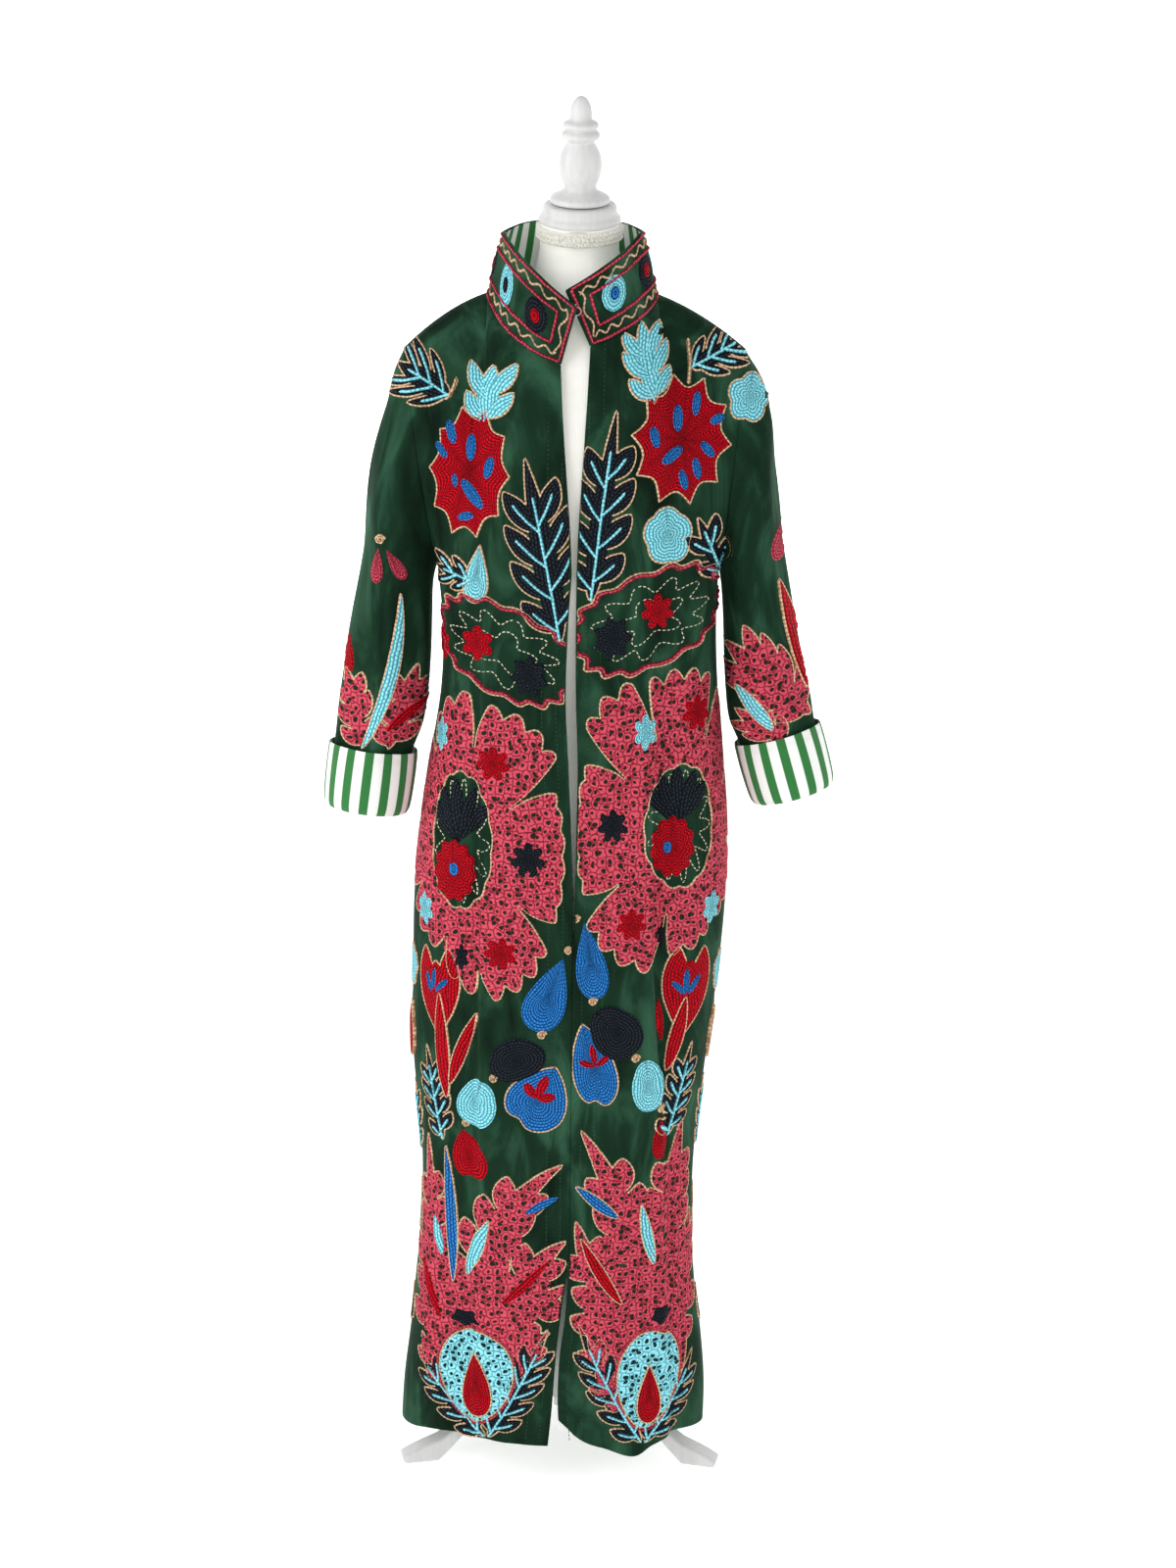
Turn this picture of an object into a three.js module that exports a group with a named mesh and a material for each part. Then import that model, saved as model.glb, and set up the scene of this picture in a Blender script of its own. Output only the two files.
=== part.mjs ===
// Velvet duster coat on a dress form. Millimetres, +Z up, the coat opens towards -Y.
// "right" and "left" are the wearer's: the wearer's right side is at -X.
import * as THREE from 'three';

// ---------------------------------------------------------------- driving sizes
const WALL = 2.4;              // velvet with its cotton lining
const SEAM_GAP = 0.3;          // air between two pieces that are sewn together
const UNDERARM_Z = 1120;       // height of the underarm
const SECTION_POWER = 0.8;     // 1 gives an ellipse, less gives a squarer body section
const COLLAR_WALL = 2.0;
const LINING_WALL = 1.0;
const CUFF_HEIGHT = 76;
const CUFF_HALF_WIDTH = 46;    // sleeve under the cuff, across the wrist
const CUFF_HALF_DEPTH = 44;    // sleeve under the cuff, front to back
const ARMHOLE_DEPTH = 62;      // half of the armhole, front to back
const MITRE = 0.8;             // how far the armhole rim leans out of its own plane
const NECK_AT = 0.42;          // share of a front's width where the neck point lies
const BACK_NECK_AT = 0.36;     // the same for the back, from its middle
const FORM_GAP = 3;            // air between the cloth and the form at the shoulder
const HEAD_LEAN = 0.27;        // forward lean of the form's cap and finial, radians

// ---------------------------------------------------------------- tables
// Body sections: half widths at the wearer's right and left side, depth to front and back,
// and where the two front edges are.
const BODY = [
  { z: 30, right: 203, left: 176, front: 106, back: 112, rightEdge: -20, leftEdge: 2 },
  { z: 100, right: 199, left: 176, front: 106, back: 111, rightEdge: -14, leftEdge: -5 },
  { z: 165, right: 191, left: 170, front: 107, back: 110, rightEdge: -10, leftEdge: -4 },
  { z: 230, right: 184, left: 161, front: 108, back: 109, rightEdge: -4, leftEdge: 3 },
  { z: 300, right: 177, left: 156, front: 110, back: 108, rightEdge: 4.0, leftEdge: 5.4 },
  { z: 400, right: 177, left: 156, front: 113, back: 106, rightEdge: 4.6, leftEdge: 6.0 },
  { z: 530, right: 188, left: 168, front: 118, back: 106, rightEdge: 4.2, leftEdge: 5.6 },
  { z: 640, right: 188, left: 180, front: 122, back: 107, rightEdge: 3.4, leftEdge: 5.2 },
  { z: 735, right: 186, left: 186, front: 125, back: 108, rightEdge: 3.6, leftEdge: 6.6 },
  { z: 825, right: 177, left: 184, front: 126, back: 108, rightEdge: 0, leftEdge: 7.5 },
  { z: 900, right: 166, left: 177, front: 125, back: 106, rightEdge: -4, leftEdge: 8 },
  { z: 975, right: 155, left: 170, front: 124, back: 103, rightEdge: -8, leftEdge: 5 },
  { z: 1050, right: 153, left: 166, front: 125, back: 102, rightEdge: -7, leftEdge: 3.5 },
  { z: 1120, right: 160, left: 167, front: 126, back: 104, rightEdge: -3.5, leftEdge: 3.4 },
];

// Collar from the wearer's right end round the back to the left end: lower edge, upper edge.
const COLLAR = [
  { x: -19, y: -93, z: 1350, topX: -2, topY: -99, topZ: 1412 },
  { x: -48, y: -84, z: 1361, topX: -34, topY: -88, topZ: 1437 },
  { x: -80, y: -58, z: 1384, topX: -66, topY: -62, topZ: 1467 },
  { x: -99, y: -22, z: 1411, topX: -84, topY: -26, topZ: 1489 },
  { x: -102, y: 14, z: 1427, topX: -85, topY: 12, topZ: 1495 },
  { x: -80, y: 48, z: 1437, topX: -67, topY: 46, topZ: 1504 },
  { x: -42, y: 68, z: 1443, topX: -35, topY: 63, topZ: 1509 },
  { x: -6, y: 74, z: 1445, topX: -5, topY: 68, topZ: 1511 },
  { x: 30, y: 68, z: 1443, topX: 25, topY: 63, topZ: 1509 },
  { x: 67, y: 48, z: 1438, topX: 55, topY: 46, topZ: 1505 },
  { x: 88, y: 14, z: 1428, topX: 71, topY: 12, topZ: 1497 },
  { x: 84, y: -22, z: 1413, topX: 68, topY: -26, topZ: 1492 },
  { x: 64, y: -58, z: 1394, topX: 48, topY: -60, topZ: 1471 },
  { x: 36, y: -80, z: 1378, topX: 18, topY: -80, topZ: 1449 },
  { x: 15, y: -88, z: 1370, topX: -13, topY: -88, topZ: 1430 },
];
const NECK_POINT_ROW = { right: 4, left: 10 };   // collar rows over the shoulder seams

// Each side of the coat: sign of x, shoulder tip, underarm and the shoulder seam's bulge.
const SIDES = {
  right: { sign: -1, tip: [-198, 0, 1364], underarm: [-160, 0, 1120], bulge: 8 },
  left: { sign: 1, tip: [190, 0, 1369], underarm: [167, 0, 1120], bulge: 6 },
};
// Hem heights, by share of the width from the front edge to the side seam.
const HEM = {
  right: [{ at: 0, z: 53 }, { at: 0.15, z: 57 }, { at: 0.35, z: 61 }, { at: 0.7, z: 53 }, { at: 1, z: 46 }],
  left: [
    { at: 0, z: 88 }, { at: 0.04, z: 66 }, { at: 0.15, z: 49 }, { at: 0.29, z: 38 }, { at: 0.38, z: 48 },
    { at: 0.54, z: 58 }, { at: 0.78, z: 54 }, { at: 1, z: 46 },
  ],
};

// The long fold of each front: where it runs (x from the middle) and how deep it steps.
const FOLD = {
  right: [
    { z: 30, x: 112, depth: 7 }, { z: 200, x: 108, depth: 9 }, { z: 450, x: 106, depth: 12 },
    { z: 700, x: 107, depth: 14 }, { z: 900, x: 106, depth: 12 }, { z: 1000, x: 105, depth: 5 },
    { z: 1060, x: 104, depth: 0 }, { z: 1120, x: 104, depth: 0 },
  ],
  left: [
    { z: 30, x: 134, depth: 9 }, { z: 200, x: 127, depth: 12 }, { z: 450, x: 119, depth: 13 },
    { z: 620, x: 103, depth: 14 }, { z: 780, x: 96, depth: 14 }, { z: 950, x: 93, depth: 11 },
    { z: 1030, x: 92, depth: 4 }, { z: 1120, x: 92, depth: 0 },
  ],
};
const FOLD_SOFTNESS = 6;
const FOLD_COLUMN = 0.42;      // the grid column that follows the long fold

// Soft ridges of the fronts: x from the middle at the low and the high end, width and height.
const RIDGES = {
  right: [
    { low: 1000, high: 1190, lowX: 140, highX: 106, width: 13, height: 7 },
    { low: 60, high: 420, lowX: 168, highX: 160, width: 16, height: 6 },
    { low: 90, high: 560, lowX: 52, highX: 60, width: 18, height: 4 },
  ],
  left: [
    { low: 1020, high: 1210, lowX: 140, highX: 126, width: 13, height: 7 },
    { low: 960, high: 1140, lowX: 78, highX: 74, width: 16, height: 4 },
    { low: 70, high: 520, lowX: 62, highX: 58, width: 18, height: 5 },
  ],
};
// Folds of the back: x at hem and at waist, width, height at the hem, top end.
const BACK_RIDGES = [
  { hemX: -150, waistX: -118, width: 18, height: 9, top: 980 },
  { hemX: -84, waistX: -66, width: 20, height: 10, top: 1040 },
  { hemX: -14, waistX: -12, width: 20, height: 9, top: 1000 },
  { hemX: 58, waistX: 44, width: 20, height: 10, top: 1050 },
  { hemX: 124, waistX: 104, width: 18, height: 9, top: 970 },
];

// Sleeve sections below the armhole: outer and inner point in the x-z plane, half depth, middle y.
const SLEEVES = {
  right: [
    { outX: -218, outZ: 1312, inX: -165, inZ: 1094, depth: 62, y: -2 },
    { outX: -236, outZ: 1234, inX: -166, inZ: 1056, depth: 61, y: -4 },
    { outX: -247, outZ: 1132, inX: -167, inZ: 1012, depth: 59, y: -6 },
    { outX: -262, outZ: 1032, inX: -170, inZ: 968, depth: 57, y: -8 },
    { outX: -274, outZ: 956, inX: -176, inZ: 930, depth: 53, y: -9 },
  ],
  left: [
    { outX: 222, outZ: 1310, inX: 171, inZ: 1094, depth: 62, y: -2 },
    { outX: 229, outZ: 1236, inX: 174, inZ: 1056, depth: 61, y: -4 },
    { outX: 242, outZ: 1150, inX: 176, inZ: 1014, depth: 59, y: -6 },
    { outX: 258, outZ: 1050, inX: 179, inZ: 974, depth: 57, y: -8 },
    { outX: 277, outZ: 975, inX: 184, inZ: 940, depth: 52, y: -9 },
  ],
};
// Cuffs: middle of the top and of the lower fold, in the x-z plane, and their middle y.
const CUFFS = {
  right: { topX: -234, topZ: 901, lowX: -243.5, lowZ: 826, y: -10 },
  left: { topX: 240, topZ: 926, lowX: 262.5, lowZ: 852, y: -10 },
};
// Section of a turned-back cuff: out = distance from the sleeve's face, up = from the lower fold.
const CUFF_SECTION = [
  { out: 5.6, up: CUFF_HEIGHT }, { out: 7.0, up: 45 }, { out: 6.0, up: 10 }, { out: 3.0, up: 1.5 },
  { out: 0.5, up: 0 }, { out: -3, up: 1 }, { out: -5.2, up: 6 }, { out: -5.2, up: 24 },
  { out: -3.5, up: 24 }, { out: -3.5, up: 7 }, { out: -1.5, up: 3.2 }, { out: 0.5, up: 2.4 },
  { out: 2.2, up: 3.6 }, { out: 4.0, up: 10.5 }, { out: 5.0, up: 45 }, { out: 3.8, up: CUFF_HEIGHT },
];
const SLEEVE_END_UP = 8;       // the sleeve ends this far above the cuff's lower fold
// Soft ridges on a sleeve: angle from the outer line to the front, span down the sleeve, size.
const SLEEVE_RIDGES = [
  { angle: 62, low: 0.12, high: 0.5, width: 16, height: 5 },
  { angle: 100, low: 0.3, high: 0.8, width: 18, height: 4 },
  { angle: 250, low: 0.15, high: 0.7, width: 20, height: 5 },
];

// The metal hook at the collar's front: middle, outer and inner radius, thickness of the wire.
const HOOK = { x: -1, y: -89.5, z: 1408, outer: 5, inner: 3.8, thickness: 1.2 };

// Dress form below the underarm: half width, depth to front and back.
const FORM = [
  { z: 700, width: 118, front: 84, back: 78 },
  { z: 760, width: 138, front: 98, back: 88 },
  { z: 840, width: 140, front: 102, back: 88 },
  { z: 940, width: 124, front: 98, back: 80 },
  { z: 1030, width: 130, front: 108, back: 84 },
  { z: 1120, width: 142, front: 117, back: 92 },
];
// Neck of the form: middle y, half width, half depth.
const NECK = [
  { z: 1432, y: -1, width: 54, depth: 54 },
  { z: 1454, y: -2, width: 50, depth: 51 },
];
// The head end of the neck, a leaning cylinder: middle of its top, radius and length.
const HEAD = { y: -8, z: 1506, radius: 45, length: 30 };

// Turned wooden parts, as radius and height above the neck's top, before they are leaned over.
const TRIM_PROFILE = [
  [45.4, -18], [47.6, -18], [49.2, -14.5], [47.2, -10.5], [49.2, -6.5], [47.6, -2.5], [45.4, -2.5],
];
const CAP_PROFILE = [
  [0, 0.3], [46, 0.3], [46.6, 2], [46.6, 6], [43, 9], [42, 12], [42, 18], [38, 21], [0, 21],
];
const FINIAL_PROFILE = [
  [0, 21.3], [33, 21.3], [34.5, 25], [33, 29], [24, 33], [17, 38], [21, 47], [24.5, 60], [23.5, 74],
  [17, 86], [15, 90], [21, 93], [22, 97], [20, 100], [16, 102], [20, 105], [20, 110], [12, 113],
  [12.5, 120], [11, 129], [6, 137], [0, 139],
];

// Stand: pole, hub and three legs.
const POLE_RADIUS = 15;
const POLE_TOP = 699.7;
const POLE_FOOT = 70;
const HUB_PROFILE = [
  [15.3, 118], [30, 118], [34, 124], [34, 232], [26, 244], [22, 262], [15.3, 262],
];
const LEG_THICKNESS = 26;
const LEG_START = 34.4;        // just outside the hub
// Directions of the three legs in degrees, and their reach as a share of the outline's.
const LEGS = [
  { name: 'leg_right', turn: -167, reach: 1 },
  { name: 'leg_left', turn: -13, reach: 0.96 },
  { name: 'leg_back', turn: 90, reach: 0.54 },
];
const LEG_OUTLINE = [
  [34.4, 226], [34.4, 130], [70, 98], [110, 52], [140, 20], [160, 0], [203, 0], [206, 8],
  [186, 18], [150, 31], [124, 62], [104, 128], [72, 196],
];

// ---------------------------------------------------------------- small helpers
const vec = (x, y, z) => new THREE.Vector3(x, y, z);
const lerp = (a, b, t) => a + (b - a) * t;
const clamp = (t) => Math.min(1, Math.max(0, t));
const smoothstep = (t) => {
  const c = clamp(t);
  return c * c * (3 - 2 * c);
};
const signedPower = (value, power) => Math.sign(value) * Math.abs(value) ** power;

// A smooth curve through the rows of a table: the value of one column at a key.
function sample(rows, keyName, key, column) {
  const last = rows.length - 1;
  const direction = Math.sign(rows[last][keyName] - rows[0][keyName]);
  let i = 0;
  while (i < last - 1 && (key - rows[i + 1][keyName]) * direction > 0) i += 1;
  const slope = (a, b) => (rows[b][column] - rows[a][column]) / (rows[b][keyName] - rows[a][keyName]);
  const span = rows[i + 1][keyName] - rows[i][keyName];
  const t = (key - rows[i][keyName]) / span;
  const here = slope(i, i + 1);
  const before = i > 0 ? (slope(i - 1, i) + here) / 2 : here;
  const after = i + 2 <= last ? (slope(i + 1, i + 2) + here) / 2 : here;
  return hermite(rows[i][column], rows[i + 1][column], before * span, after * span, t);
}

function hermite(from, to, slopeFrom, slopeTo, t) {
  const t2 = t * t;
  const t3 = t2 * t;
  return (2 * t3 - 3 * t2 + 1) * from + (t3 - 2 * t2 + t) * slopeFrom
    + (3 * t2 - 2 * t3) * to + (t3 - t2) * slopeTo;
}

// A point of the collar's lower edge, by row number counted with fractions.
function neckline(row) {
  const rows = COLLAR.map((entry, i) => ({ ...entry, i }));
  return vec(sample(rows, 'i', row, 'x'), sample(rows, 'i', row, 'y'), sample(rows, 'i', row, 'z'));
}

// ---------------------------------------------------------------- shape of the coat
// Shoulder seam from the neck point (0) to the shoulder tip (1).
function shoulder(name, share) {
  const side = SIDES[name];
  const neck = neckline(NECK_POINT_ROW[name]);
  const tip = vec(...side.tip);
  const point = neck.lerp(tip, share);
  point.z += side.bulge * 4 * share * (1 - share);
  return point;
}

// Armhole edge from the underarm (0) to the shoulder tip (1); facing is -1 in front, +1 behind.
function armhole(name, share, facing) {
  const side = SIDES[name];
  const point = vec(...side.underarm).lerp(vec(...side.tip), (1 - Math.cos(Math.PI * share)) / 2);
  point.y = facing * ARMHOLE_DEPTH * Math.sin(Math.PI * share);
  return point;
}

// Direction of the armhole's rim: away from the middle of the armhole and out to the side.
function armholeNormal(name, share, facing) {
  const side = SIDES[name];
  const middle = vec(...side.underarm).lerp(vec(...side.tip), 0.5);
  const out = armhole(name, share, facing).sub(middle).normalize();
  out.x += side.sign * MITRE;
  return out.normalize();
}

// How far the cloth of a front is moved out of its smooth section at a point.
function frontRelief(name, x, z, halfWidth) {
  const distance = Math.abs(x);
  const at = sample(FOLD[name], 'z', z, 'x');
  const depth = Math.max(0, sample(FOLD[name], 'z', z, 'depth'));
  const step = (1 + Math.tanh((distance - at) / FOLD_SOFTNESS)) / 2;
  const rise = clamp((distance - at) / (halfWidth - at));
  let relief = -depth * step * (1 - rise);
  for (const ridge of RIDGES[name]) {
    const up = (z - ridge.low) / (ridge.high - ridge.low);
    const swell = Math.sin(Math.PI * clamp(up)) ** 2;
    const offset = (distance - lerp(ridge.lowX, ridge.highX, up)) / ridge.width;
    relief += ridge.height * swell * Math.exp(-offset * offset);
  }
  return relief;
}

function backRelief(x, z, halfWidth) {
  let relief = 0;
  for (const ridge of BACK_RIDGES) {
    const up = clamp(z / ridge.top);
    const offset = (x - lerp(ridge.hemX, ridge.waistX, up)) / ridge.width;
    relief += ridge.height * (1 - up) ** 0.7 * (Math.exp(-offset * offset) - 0.35);
  }
  return relief * smoothstep((halfWidth - Math.abs(x)) / 30);
}

// A point of the body below the underarm. across runs from the front edge (0) to the side (1),
// or, behind, from the middle of the back (0) to the side (1).
function lowerPoint(name, facing, across, z, folds) {
  const sign = SIDES[name].sign;
  const half = sample(BODY, 'z', z, name);
  const edge = facing < 0 ? sample(BODY, 'z', z, `${name}Edge`) : 0;
  const depth = sample(BODY, 'z', z, facing < 0 ? 'front' : 'back');
  const section = (share) => {
    const angle = share * Math.PI / 2;
    const out = signedPower(Math.sin(angle), SECTION_POWER);
    const deep = signedPower(Math.cos(angle), SECTION_POWER);
    return vec(edge + (sign * half - edge) * out, facing * depth * deep, z);
  };
  const point = section(across);
  if (!folds) return point;
  const step = 0.01;
  const tangent = section(Math.min(1, across + step)).sub(section(Math.max(0, across - step)));
  const normal = vec(tangent.y, -tangent.x, 0).normalize();
  if (normal.x * sign + normal.y * facing < 0) normal.negate();
  const relief = facing < 0
    ? frontRelief(name, point.x, z, half)
    : backRelief(point.x, z, half);
  return point.addScaledVector(normal, relief);
}

// Top edge of a front or of the back: neckline first, then the shoulder seam.
function topPoint(name, facing, across) {
  const neckAt = facing < 0 ? NECK_AT : BACK_NECK_AT;
  if (across >= neckAt) return shoulder(name, (across - neckAt) / (1 - neckAt));
  const neckRow = NECK_POINT_ROW[name];
  const middle = (COLLAR.length - 1) / 2;
  const start = facing > 0 ? middle : (name === 'right' ? 0 : COLLAR.length - 1);
  return neckline(lerp(start, neckRow, across / neckAt));
}

// A point above the underarm; up is 0 at the underarm and 1 at the top edge.
function upperPoint(name, facing, across, up, folds) {
  const base = lowerPoint(name, facing, across, UNDERARM_Z, false);
  const top = topPoint(name, facing, across);
  const rise = top.z - base.z;
  const over = smoothstep(across / (facing < 0 ? NECK_AT : BACK_NECK_AT));
  const lean = facing < 0 ? lerp(70, 165, over) : lerp(60, 130, over);
  const endRise = facing < 0 ? lerp(220, 60, over) : lerp(200, 60, over);
  const column = (t, edge) => vec(
    lerp(edge.base.x, edge.top.x, smoothstep(t) * 0.5 + t * 0.5),
    hermite(edge.base.y, edge.top.y, facing * 14, -facing * edge.lean, t),
    hermite(edge.base.z, edge.top.z, edge.rise * 1.05, edge.endRise, t),
  );
  const point = column(up, { base, top, rise, lean, endRise });
  const tip = vec(...SIDES[name].tip);
  const underarm = vec(...SIDES[name].underarm);
  const outer = column(up, {
    base: underarm, top: tip, rise: tip.z - underarm.z,
    lean: facing < 0 ? 165 : 130, endRise: 60,
  });
  const pull = armhole(name, up, facing).sub(outer);
  point.addScaledVector(pull, across ** 3);
  if (folds && facing < 0) {
    const relief = frontRelief(name, point.x, point.z, 1e3) * (1 - across ** 2);
    point.y -= relief;
  }
  return point;
}

// Share across a front for a grid column: column FOLD_COLUMN lies on the long fold.
function alongFold(name, column, z) {
  const half = sample(BODY, 'z', z, name);
  const ratio = clamp(sample(FOLD[name], 'z', z, 'x') / half);
  const foldAt = Math.asin(ratio ** (1 / SECTION_POWER)) / (Math.PI / 2);
  if (column < FOLD_COLUMN) return foldAt * column / FOLD_COLUMN;
  return foldAt + (1 - foldAt) * (column - FOLD_COLUMN) / (1 - FOLD_COLUMN);
}

// ---------------------------------------------------------------- walls from grids
// Normals of a grid of points; rows may close on themselves across.
function gridNormals(grid, closed, flip) {
  const rows = grid.length;
  const columns = grid[0].length;
  return grid.map((row, j) => row.map((point, i) => {
    const right = closed ? row[(i + 1) % columns] : row[Math.min(i + 1, columns - 1)];
    const left = closed ? row[(i + columns - 1) % columns] : row[Math.max(i - 1, 0)];
    const above = grid[Math.min(j + 1, rows - 1)][i];
    const below = grid[Math.max(j - 1, 0)][i];
    const normal = right.clone().sub(left).cross(above.clone().sub(below)).normalize();
    return flip ? normal.negate() : normal;
  }));
}

// A closed body between a grid of outer points and the same grid moved in along its normals.
function wall(grid, normals, thickness, closed) {
  const rows = grid.length;
  const columns = grid[0].length;
  const inner = grid.map((row, j) => row.map((p, i) => p.clone().addScaledVector(normals[j][i], -thickness)));
  const positions = [...grid.flat(), ...inner.flat()].flatMap((p) => [p.x, p.y, p.z]);
  const outerAt = (j, i) => j * columns + (i % columns);
  const innerAt = (j, i) => rows * columns + outerAt(j, i);
  const faces = [];
  const quad = (a, b, c, d) => faces.push(a, b, c, a, c, d);
  const across = closed ? columns : columns - 1;
  for (let j = 0; j < rows - 1; j += 1) {
    for (let i = 0; i < across; i += 1) {
      quad(outerAt(j, i), outerAt(j, i + 1), outerAt(j + 1, i + 1), outerAt(j + 1, i));
      quad(innerAt(j, i), innerAt(j + 1, i), innerAt(j + 1, i + 1), innerAt(j, i + 1));
    }
  }
  for (let i = 0; i < across; i += 1) {
    quad(outerAt(0, i), innerAt(0, i), innerAt(0, i + 1), outerAt(0, i + 1));
    quad(outerAt(rows - 1, i + 1), innerAt(rows - 1, i + 1), innerAt(rows - 1, i), outerAt(rows - 1, i));
  }
  for (let j = 0; !closed && j < rows - 1; j += 1) {
    quad(outerAt(j, 0), outerAt(j + 1, 0), innerAt(j + 1, 0), innerAt(j, 0));
    const end = columns - 1;
    quad(outerAt(j, end), innerAt(j, end), innerAt(j + 1, end), outerAt(j + 1, end));
  }
  return solid(positions, faces);
}

// Geometry from positions and faces, turned so that its faces look out.
function solid(positions, faces) {
  let volume = 0;
  const at = (index) => vec(positions[3 * index], positions[3 * index + 1], positions[3 * index + 2]);
  for (let f = 0; f < faces.length; f += 3) {
    volume += at(faces[f]).dot(at(faces[f + 1]).cross(at(faces[f + 2])));
  }
  const ordered = volume > 0 ? faces : faces.slice().reverse();
  const geometry = new THREE.BufferGeometry();
  geometry.setAttribute('position', new THREE.Float32BufferAttribute(positions, 3));
  geometry.setIndex(ordered);
  return geometry;
}

// A closed body through rings of equal point count, with a flat fan at both ends.
function loft(rings) {
  const count = rings[0].length;
  const centres = [rings[0], rings[rings.length - 1]].map((ring) => {
    const sum = ring.reduce((total, p) => total.add(p), vec(0, 0, 0));
    return sum.multiplyScalar(1 / count);
  });
  const positions = [...rings.flat(), ...centres].flatMap((p) => [p.x, p.y, p.z]);
  const faces = [];
  for (let j = 0; j < rings.length - 1; j += 1) {
    for (let i = 0; i < count; i += 1) {
      const next = (i + 1) % count;
      const [a, b, c, d] = [j * count + i, j * count + next, (j + 1) * count + next, (j + 1) * count + i];
      faces.push(a, b, c, a, c, d);
    }
  }
  const last = (rings.length - 1) * count;
  for (let i = 0; i < count; i += 1) {
    const next = (i + 1) % count;
    faces.push(rings.length * count, next, i);
    faces.push(rings.length * count + 1, last + i, last + next);
  }
  return solid(positions, faces);
}

// ---------------------------------------------------------------- pieces of the coat
const FRONT_COLUMNS = [0, 0.05, 0.13, 0.22, 0.31, 0.37, 0.405, 0.435, 0.47, 0.54, 0.63, 0.73, 0.83, 0.92, 1];
const LOWER_ROWS = 19;
const UPPER_ROWS = 11;
const BACK_HALF_COLUMNS = 11;

function hemHeight(name, across) {
  return sample(HEM[name], 'at', across, 'z');
}

// One front: columns from the front edge to the side, rows from the hem to the top edge.
function frontPiece(name) {
  const grid = [];
  for (let j = 0; j < LOWER_ROWS; j += 1) {
    const up = j / LOWER_ROWS;
    grid.push(FRONT_COLUMNS.map((column) => {
      const hem = hemHeight(name, alongFold(name, column, BODY[0].z));
      const z = lerp(hem, UNDERARM_Z, up);
      return lowerPoint(name, -1, alongFold(name, column, z), z, true);
    }));
  }
  for (let j = 0; j <= UPPER_ROWS; j += 1) {
    const up = j / UPPER_ROWS;
    const settle = smoothstep(up);
    grid.push(FRONT_COLUMNS.map((column) => {
      const across = lerp(alongFold(name, column, UNDERARM_Z), column, settle);
      return upperPoint(name, -1, across, up, true);
    }));
  }
  const normals = gridNormals(grid, false, SIDES[name].sign < 0);
  seamSide(name, -1, grid, normals, FRONT_COLUMNS.length - 1, (i) => FRONT_COLUMNS[i]);
  return wall(grid, normals, WALL, false);
}

// Sets the normals along the side seam, armhole and shoulder, and opens the seam by half the gap.
function seamSide(name, facing, grid, normals, edge, acrossOf) {
  const sign = SIDES[name].sign;
  const neckAt = facing < 0 ? NECK_AT : BACK_NECK_AT;
  const top = grid.length - 1;
  for (let j = 0; j <= top; j += 1) {
    const up = (j - LOWER_ROWS) / UPPER_ROWS;
    normals[j][edge] = up < 0 ? vec(sign, 0, 0) : armholeNormal(name, up, facing);
    if (up <= 0) grid[j][edge].y += facing * SEAM_GAP / 2;
  }
  grid[top].forEach((point, i) => {
    const across = acrossOf(i);
    if (across === null || across < neckAt) return;
    point.y += facing * SEAM_GAP / 2;
    if (i === edge) return;
    const share = (across - neckAt) / (1 - neckAt);
    const along = shoulder(name, Math.min(1, share + 0.05)).sub(shoulder(name, Math.max(0, share - 0.05)));
    normals[top][i] = vec(-along.z, 0, along.x).multiplyScalar(sign).normalize();
  });
}

// The back in one piece, from the wearer's right side to the left side.
function backPiece() {
  const shares = [];
  for (let i = -BACK_HALF_COLUMNS; i <= BACK_HALF_COLUMNS; i += 1) shares.push(i / BACK_HALF_COLUMNS);
  const nameOf = (share) => (share < 0 ? 'right' : 'left');
  const grid = [];
  for (let j = 0; j < LOWER_ROWS; j += 1) {
    const up = j / LOWER_ROWS;
    grid.push(shares.map((share) => {
      const name = nameOf(share);
      const z = lerp(hemHeight(name, 1), UNDERARM_Z, up);
      return lowerPoint(name, 1, Math.abs(share), z, true);
    }));
  }
  for (let j = 0; j <= UPPER_ROWS; j += 1) {
    const up = j / UPPER_ROWS;
    grid.push(shares.map((share) => upperPoint(nameOf(share), 1, Math.abs(share), up, true)));
  }
  const normals = gridNormals(grid, false, true);
  const last = shares.length - 1;
  seamSide('right', 1, grid, normals, 0, (i) => (shares[i] < 0 ? -shares[i] : null));
  seamSide('left', 1, grid, normals, last, (i) => (shares[i] > 0 ? shares[i] : null));
  return wall(grid, normals, WALL, false);
}

// Cuff frame: middle, unit vector across (to the outer side) and unit vector up.
function cuffFrame(name) {
  const cuff = CUFFS[name];
  const low = vec(cuff.lowX, cuff.y, cuff.lowZ);
  const up = vec(cuff.topX, cuff.y, cuff.topZ).sub(low).normalize();
  const across = vec(up.z, 0, -up.x).multiplyScalar(SIDES[name].sign);
  return { low, up, across };
}

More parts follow.
